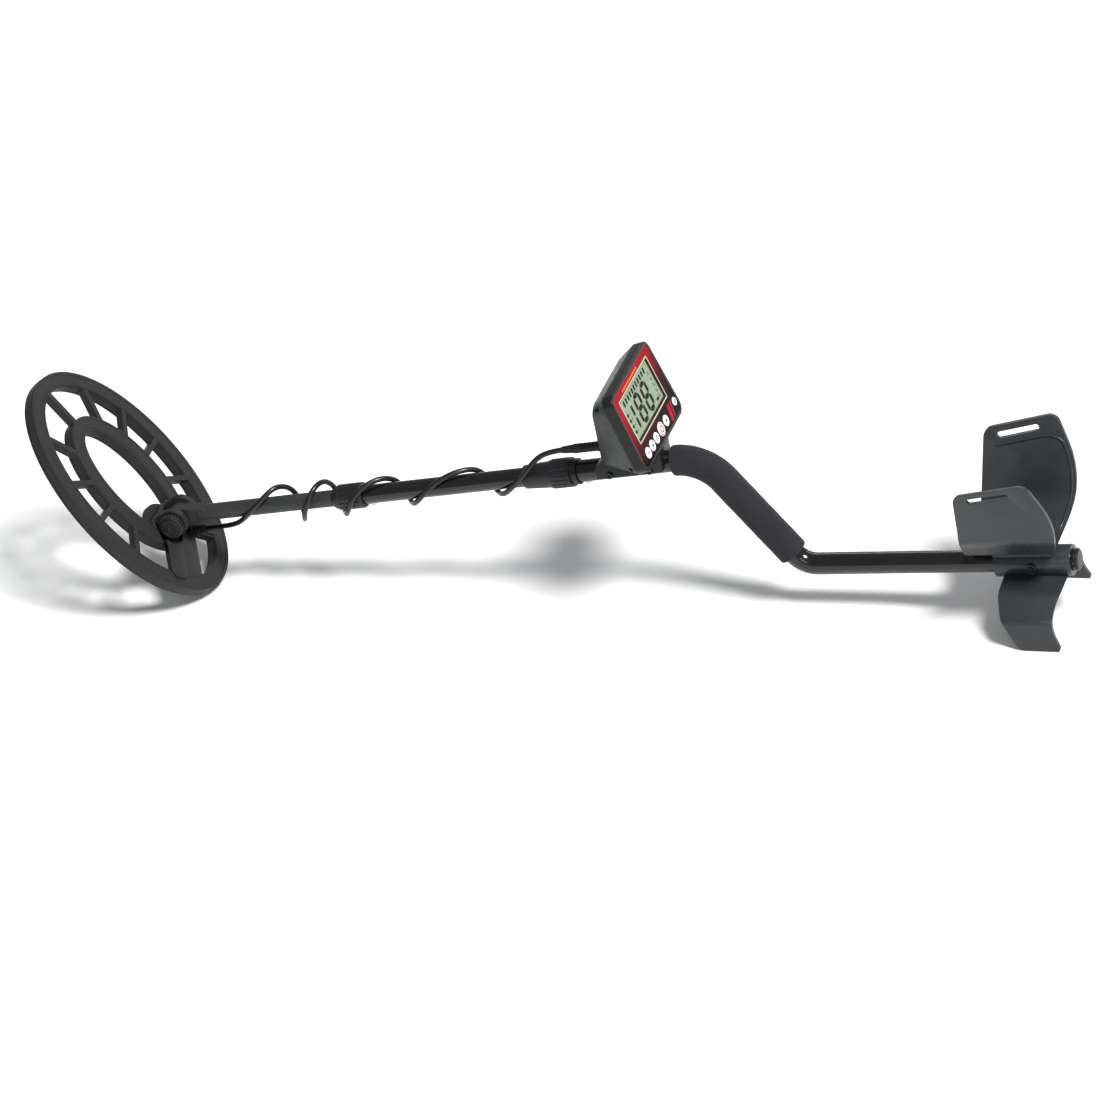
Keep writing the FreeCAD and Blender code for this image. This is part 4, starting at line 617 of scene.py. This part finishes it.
def nearest(path, spot):
    """The index of the path's point nearest a spot."""
    return min(range(len(path)), key=lambda i: (path[i] - spot).length)


def build_cable():
    path, spots = cable_line()
    first = nearest(path, (spots[5] + spots[6]) / 2)
    second = nearest(path, (spots[17] + spots[18]) / 2)
    sections = (
        ("cable_to_coil", "cable_front", path[: first + 1], ("coil", "lower"), COIL_TO_LOWER),
        (
            "cable_over_lower_lock", "cable_middle", path[first : second + 1],
            ("lower", "middle"), LOWER_TO_MIDDLE,
        ),
        ("cable_to_display", "cable_rear", path[second:], ("middle", "handle"), MIDDLE_TO_HANDLE),
    )
    for name, node, part, bodies, (start, end) in sections:
        length = 0.0
        rings = [(0.0, CABLE_RADIUS * MM)]
        for before, after in zip(part, part[1:]):
            length += (after - before).length
            rings.append((length, CABLE_RADIUS * MM))
        piece = swept(name, part, rings, "cable", None, 20)
        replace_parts(piece, node)
        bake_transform(piece)


build_cable()


# ---------------------------------------------------------------- display
SEGMENTS = {
    "a": ((0, 1), (1, 1)), "b": ((1, 1), (1, 0.5)), "c": ((1, 0.5), (1, 0)), "d": ((0, 0), (1, 0)),
    "e": ((0, 0.5), (0, 0)), "f": ((0, 1), (0, 0.5)), "g": ((0, 0.5), (1, 0.5)),
}


def digit(lit, x, y, width, height, thick, slant):
    """The lit segments of one digit of a number display."""
    outlines = []
    for name in lit:
        (x0, y0), (x1, y1) = SEGMENTS[name]
        start = Vector((x + width * x0, y + height * y0))
        end = Vector((x + width * x1, y + height * y1))
        along = (end - start).normalized()
        side = Vector((-along.y, along.x)) * thick / 2
        start += along * 0.5
        end -= along * 0.5
        tip = along * thick / 2
        ring = [start, start + tip + side, end - tip + side, end, end - tip - side, start + tip - side]
        outlines.append([(spot.x + slant * (spot.y - y), spot.y) for spot in ring])
    return outlines


# on the face, in millimetres across and up from the middle of its lower edge; heights are out of the face
SCREEN = (-43.3, 40.3, 30.2, 72.8)
SCREEN_BACK = -3.9
SCREEN_FRONT = -1.85
INK_BACK = -1.9
INK_FRONT = -1.78
OVERLAY = -0.25
DIGITS = (("bc", -27.0, 0.01, 4.4), ("abcdefg", -16.5, 12.5, 4.8), ("abcdefg", 5.0, 12.5, 4.8))
DIGIT_BOTTOM = 34.5
DIGIT_HEIGHT = 27.0
DIGIT_SLANT = 0.05


def build_display():
    """The display glass, its lit segments, and the overlay's border, dashes and red bars."""
    plates("display_face", [slab(*SCREEN, 0.8)], FACE, SCREEN_BACK, SCREEN_FRONT, "lcd", "handle")
    ink = []
    for index in range(11):
        left = -37.5 + 6.4 * index
        ink.append(slab(left, left + 3.4, 65.0, 71.0, 0.2, 0.12))
    for lit, left, width, thick in DIGITS:
        ink += digit(lit, left, DIGIT_BOTTOM, width, DIGIT_HEIGHT, thick, DIGIT_SLANT)
    for index in range(4):
        rise = 6.4 * index
        ink.append(slab(-41.2, -37.4, 36 + rise, 39.2 + rise, 0.3))
        ink.append(slab(-35.6, -33.4, 37 + rise, 38 + rise, 0.2))
    for index in range(5):
        bottom = 33.5 + 6.6 * index
        ink.append(slab(32.5, 36.5, bottom, bottom + 0.8, 0.1))
        ink.append(slab(32.5, 35.0, bottom + 1.9, bottom + 2.7, 0.1))
    battery_icon = [slab(25.5, 30.6, 33.0, 36.0, 0.2), slab(30.7, 31.5, 33.8, 35.2, 0.1)]
    plates("display_segments", ink + battery_icon, FACE, INK_BACK, INK_FRONT, "ink", "handle")

    outside, inside = slab(-46.9, 43.9, 26.6, 76.4, 1.6), slab(-45.3, 42.3, 28.2, 74.8, 0.8)
    ring_plate("display_border", outside, inside, FACE, OVERLAY, -0.05, "edge", "handle")
    dashes = [slab(-30 + 4.3 * i, -27.2 + 4.3 * i, 78.2, 80.4, 0.4, 0.2) for i in range(11)]
    plates("panel_gold_dashes", dashes, FACE, OVERLAY, -0.12, "gold", "handle")
    bars = [slab(29.5, 35.5, 5.5, 22.0, 1.2, 0.25), slab(38.0, 41.2, 5.5, 22.0, 0.9, 0.25)]
    plates("panel_red_flash", bars, FACE, OVERLAY, -0.12, "accent", "handle")


build_display()

KEY_TOP = 0.6
SIGN_SUNK = 0.05
SIGN_RAISED = 0.07
KEY_ROW = 13.5
KEYS = {
    "minus_key": (-41.0, KEY_ROW, 5.8),
    "plus_key": (-27.5, KEY_ROW, 5.8),
    "menu_key": (-13.5, KEY_ROW, 5.8),
    "pinpoint_key": (3.0, KEY_ROW, 7.4),
    "mode_key": (19.0, KEY_ROW, 5.8),
    "power_key": (51.4, 16.0, 4.4),
}


def build_key_marks():
    """Generic signs on the keys: minus, plus, lines, target, arrow and ring."""
    low, high = KEY_TOP - SIGN_SUNK, KEY_TOP + SIGN_RAISED

    def band(name, key, x, y, radius, thick, paint):
        outer, inner = ellipse(radius, radius, 48, x, y), ellipse(radius - thick, radius - thick, 48, x, y)
        ring_plate(name, outer, inner, FACE, low, high, paint, key + "_cap")

    for key, (x, y, radius) in KEYS.items():
        name = key + "_sign"
        if key == "power_key":
            band(name, key, x, y, radius * 0.45, 0.9, "glyph")
        elif key == "pinpoint_key":
            band(name, key, x, y, radius * 0.52, 1.3, "ring")
            edge = radius - 0.9
            outer, inner = ellipse(edge, edge, 64, x, y), ellipse(edge - 0.8, edge - 0.8, 64, x, y)
            ring_plate("pinpoint_key_border", outer, inner, FACE, low, high, "ring", key + "_cap")
        else:
            outlines = {
                "minus_key": [slab(x - 2.6, x + 2.6, y - 0.5, y + 0.5, 0.3)],
                "plus_key": [
                    slab(x + a, x + b, y + c, y + d, 0.15)
                    for a, b, c, d in ((-2.6, 2.6, -0.5, 0.5), (-0.5, 0.5, 0.5, 2.6), (-0.5, 0.5, -2.6, -0.5))
                ],
                "menu_key": [
                    slab(x - 2.4, x + 2.4, y + d - 0.35, y + d + 0.35, 0.2) for d in (-1.7, 0, 1.7)
                ],
                "mode_key": [[(x - 1.4, y - 2.0), (x + 2.2, y), (x - 1.4, y + 2.0)]],
            }
            plates(name, outlines[key], FACE, low, high, "glyph", key + "_cap")


build_key_marks()


# ---------------------------------------------------------------- moulded detail
COIL_TOP = 14.0
NEAR_ARM_TURN = -50.0
FAR_ARM_TURN = 40.0
NEAR_RIB = [(24, -10.5), (60, -10.5), (67, -6), (67, 6), (60, 10.5), (24, 10.5)]
BEADS = {
    "coil_outer_bead": (137.4, 91.2, 1.5),
    "coil_outer_inner_bead": (125.0, 78.8, 1.5),
    "coil_inner_bead": (83.0, 48.0, 1.3),
    "coil_inner_inner_bead": (71.2, 36.2, 1.3),
}


def build_coil_detail():
    """A raised rib on each hub arm, and a fine bead along each edge of the two rings."""

    hub = COIL @ Matrix.Translation(point(PIVOT_AHEAD, 0, COIL_TOP))

    def arm(turn):
        return hub @ Matrix.Rotation(math.radians(turn), 4, "Z")

    plates("coil_near_arm_rib", [NEAR_RIB], arm(NEAR_ARM_TURN), -0.5, 2.0, "coil", "coil", 0.6)
    far_rib = slab(48, 62, -2.6, 2.6, 2.0)
    plates("coil_far_arm_rib", [far_rib], arm(FAR_ARM_TURN), -0.5, 2.0, "coil", "coil", 0.7)
    for name, (half_x, half_y, width) in BEADS.items():
        outside, inside = ellipse(half_x, half_y, 160), ellipse(half_x - width, half_y - width, 160)
        ring_plate(name, outside, inside, COIL, COIL_TOP - 0.4, COIL_TOP + 0.45, "coil", "coil", 0.35)


EAR_OUTSIDE = 16.5
KNOB_GAP = 0.2
KNOB_DEPTH = 9.0


def build_knob_face():
    """A raised ring and a button on the knob's outer face."""
    face = ROD @ point(0, -(EAR_OUTSIDE + KNOB_GAP + KNOB_DEPTH), 0)
    outward = Matrix.Translation(face) @ Matrix.Rotation(math.radians(90), 4, "X")
    outside, inside = ellipse(10.2, 10.2, 72), ellipse(7.4, 7.4, 72)
    ring_plate("tilt_knob_ring", outside, inside, outward, -0.3, 0.9, "black", "knob", 0.4)
    plates("tilt_knob_button", [ellipse(4.4, 4.4, 48)], outward, -0.3, 0.7, "black", "knob", 0.4)


def rounded_path(corners, radii, steps=10):
    """Points along an open 2-D line whose inner corners are rounded."""
    points = [Vector(corners[0])]
    for before, corner, after, radius in zip(corners, corners[1:], corners[2:], radii):
        corner = Vector(corner)
        back = (Vector(before) - corner).normalized()
        ahead = (Vector(after) - corner).normalized()
        half = back.angle(ahead) / 2
        reach = radius / math.tan(half)
        centre = corner + (back + ahead).normalized() * (radius / math.sin(half))
        first = corner + back * reach - centre
        last = corner + ahead * reach - centre
        for i in range(steps + 1):
            points.append(centre + first.slerp(last, i / steps).normalized() * radius)
    points.append(Vector(corners[-1]))
    return points


# the cradle's inner face, half across and up; the arc just inside its back edge, along, up and radius
WING_LINE = [(0, 21.5), (21, 21.5), (42.2, 47.7), (67, 136)]
WING_BENDS = (24, 30)
WING_ARC = (186.9, 69.6, 88.0)
RIM_HEIGHTS = (64, 72, 80, 88, 94)
RIM_RADIUS = 1.3
# the ridge under a strap slot: along and up
SLOT_RIDGE = (
    (269.5, 99.5), (265.5, 103.2), (259, 105.6), (251, 106.0), (243, 104.8), (222, 101.2), (201, 97.6),
)


def wing_inside(height):
    """How far out a wing's inner face is at a height."""
    (low_y, low_z), (high_y, high_z) = WING_LINE[2:]
    return low_y + (height - low_z) * (high_y - low_y) / (high_z - low_z)


def wing_rim(height):
    """Where the rim is along the armrest at a height, just inside its curved back edge."""
    centre_x, centre_z, radius = WING_ARC
    return centre_x + math.sqrt(radius ** 2 - (height - centre_z) ** 2)


def build_armrest_detail():
    """A raised rim inside the cradle: below each strap slot, down the back edges and across the floor."""
    bends = rounded_path(WING_LINE, WING_BENDS)[:-1]
    rise = [Vector((wing_inside(z), z)) for z in RIM_HEIGHTS]
    side = [(wing_rim(spot.y), spot.x, spot.y) for spot in bends + rise]
    side += [(x, wing_inside(z), z) for x, z in SLOT_RIDGE]
    left = [TAIL @ point(x, -y, z) for x, y, z in reversed(side)]
    right = [TAIL @ point(x, y, z) for x, y, z in side]
    path = left + right[1:]
    length = 0.0
    rings = [(0.0, RIM_RADIUS * MM)]
    for before, after in zip(path, path[1:]):
        length += (after - before).length
        rings.append((length, RIM_RADIUS * MM))
    swept("armrest_rim", path, rings, "arm", "handle", 16)


build_coil_detail()
build_knob_face()
build_armrest_detail()


# ---------------------------------------------------------------- floor, light and camera
FLOOR_REACH = 14.0
FLOOR_PAINT = ((0.86, 0.86, 0.86, 1), (0.90, 0.90, 0.90, 1))
SUN_FROM = Vector((0.62, -0.32, 1.0))
SUN_STRENGTH = 3.4
SUN_ANGLE = math.radians(15)
SKY_COLOUR = (0.96, 0.98, 1.0, 1)
SKY_STRENGTH = 0.26
CAMERA_RIGHT = Vector((0.940, 0.3006, -0.1606))
CAMERA_UP = Vector((-0.0295, 0.5423, 0.8397))
CAMERA_DISTANCE = 6.0
CAMERA_LENS = 190.5
# the picture's middle, right of and above the place where the coil touches the floor
AIM_RIGHT = 0.346
AIM_UP = 0.035


def build_floor():
    shape = bmesh.new()
    steps = (-FLOOR_REACH, 0, FLOOR_REACH)
    rows = [[shape.verts.new((x, y, 0)) for x in steps] for y in steps]
    for first, second in zip(rows, rows[1:]):
        for i in range(2):
            shape.faces.new((first[i], first[i + 1], second[i + 1], second[i]))
    mesh = bpy.data.meshes.new("floor")
    shape.to_mesh(mesh)
    shape.free()
    paint = Paint("floor")
    paint.feed(paint.shader.inputs["Base Color"], paint.mix(paint.noise(900), *FLOOR_PAINT))
    paint.shader.inputs["Roughness"].default_value = 0.8
    mesh.materials.append(paint.material)
    floor = bpy.data.objects.new("floor", mesh)
    scene.collection.objects.link(floor)


def lamp(data, facing, spot=(0, 0, 0)):
    """Puts a light in the scene, its back turned towards a direction."""
    light = bpy.data.objects.new(data.name, data)
    light.location = spot
    light.rotation_mode = "QUATERNION"
    light.rotation_quaternion = facing.to_track_quat("Z", "Y")
    scene.collection.objects.link(light)


def area_light(name, spot, aim, size, power):
    data = bpy.data.lights.new(name, "AREA")
    data.shape = "RECTANGLE"
    data.size, data.size_y = size
    data.energy = power
    lamp(data, Vector(spot) - Vector(aim), spot)


def build_light():
    world = bpy.data.worlds.new("studio")
    world.use_nodes = True
    sky = world.node_tree.nodes["Background"]
    sky.inputs["Color"].default_value = SKY_COLOUR
    sky.inputs["Strength"].default_value = SKY_STRENGTH
    scene.world = world
    sun = bpy.data.lights.new("sun", "SUN")
    sun.energy = SUN_STRENGTH
    sun.angle = SUN_ANGLE
    lamp(sun, SUN_FROM)
    area_light("side", (0.9, -2.2, 1.0), (0.3, 0, 0.12), (1.2, 0.5), 5)
    area_light("back", (0.2, 2.0, 1.3), (0, 0, 0.12), (2.4, 0.5), 8)
    scene.view_settings.view_transform = "Standard"
    scene.view_settings.look = "Medium High Contrast"


def build_camera():
    right = CAMERA_RIGHT.normalized()
    back = right.cross(CAMERA_UP).normalized()
    up = back.cross(right)
    target = point(CENTRE_SHIFT) + right * AIM_RIGHT + up * AIM_UP
    data = bpy.data.cameras.new("camera")
    data.lens = CAMERA_LENS
    data.sensor_width = 36.0
    data.clip_start, data.clip_end = 0.1, 60.0
    camera = bpy.data.objects.new("camera", data)
    turn = Matrix((right, up, back)).transposed().to_4x4()
    camera.matrix_world = Matrix.Translation(target + back * CAMERA_DISTANCE) @ turn
    scene.collection.objects.link(camera)
    scene.camera = camera


build_floor()
build_light()
build_camera()

bpy.context.view_layer.update()
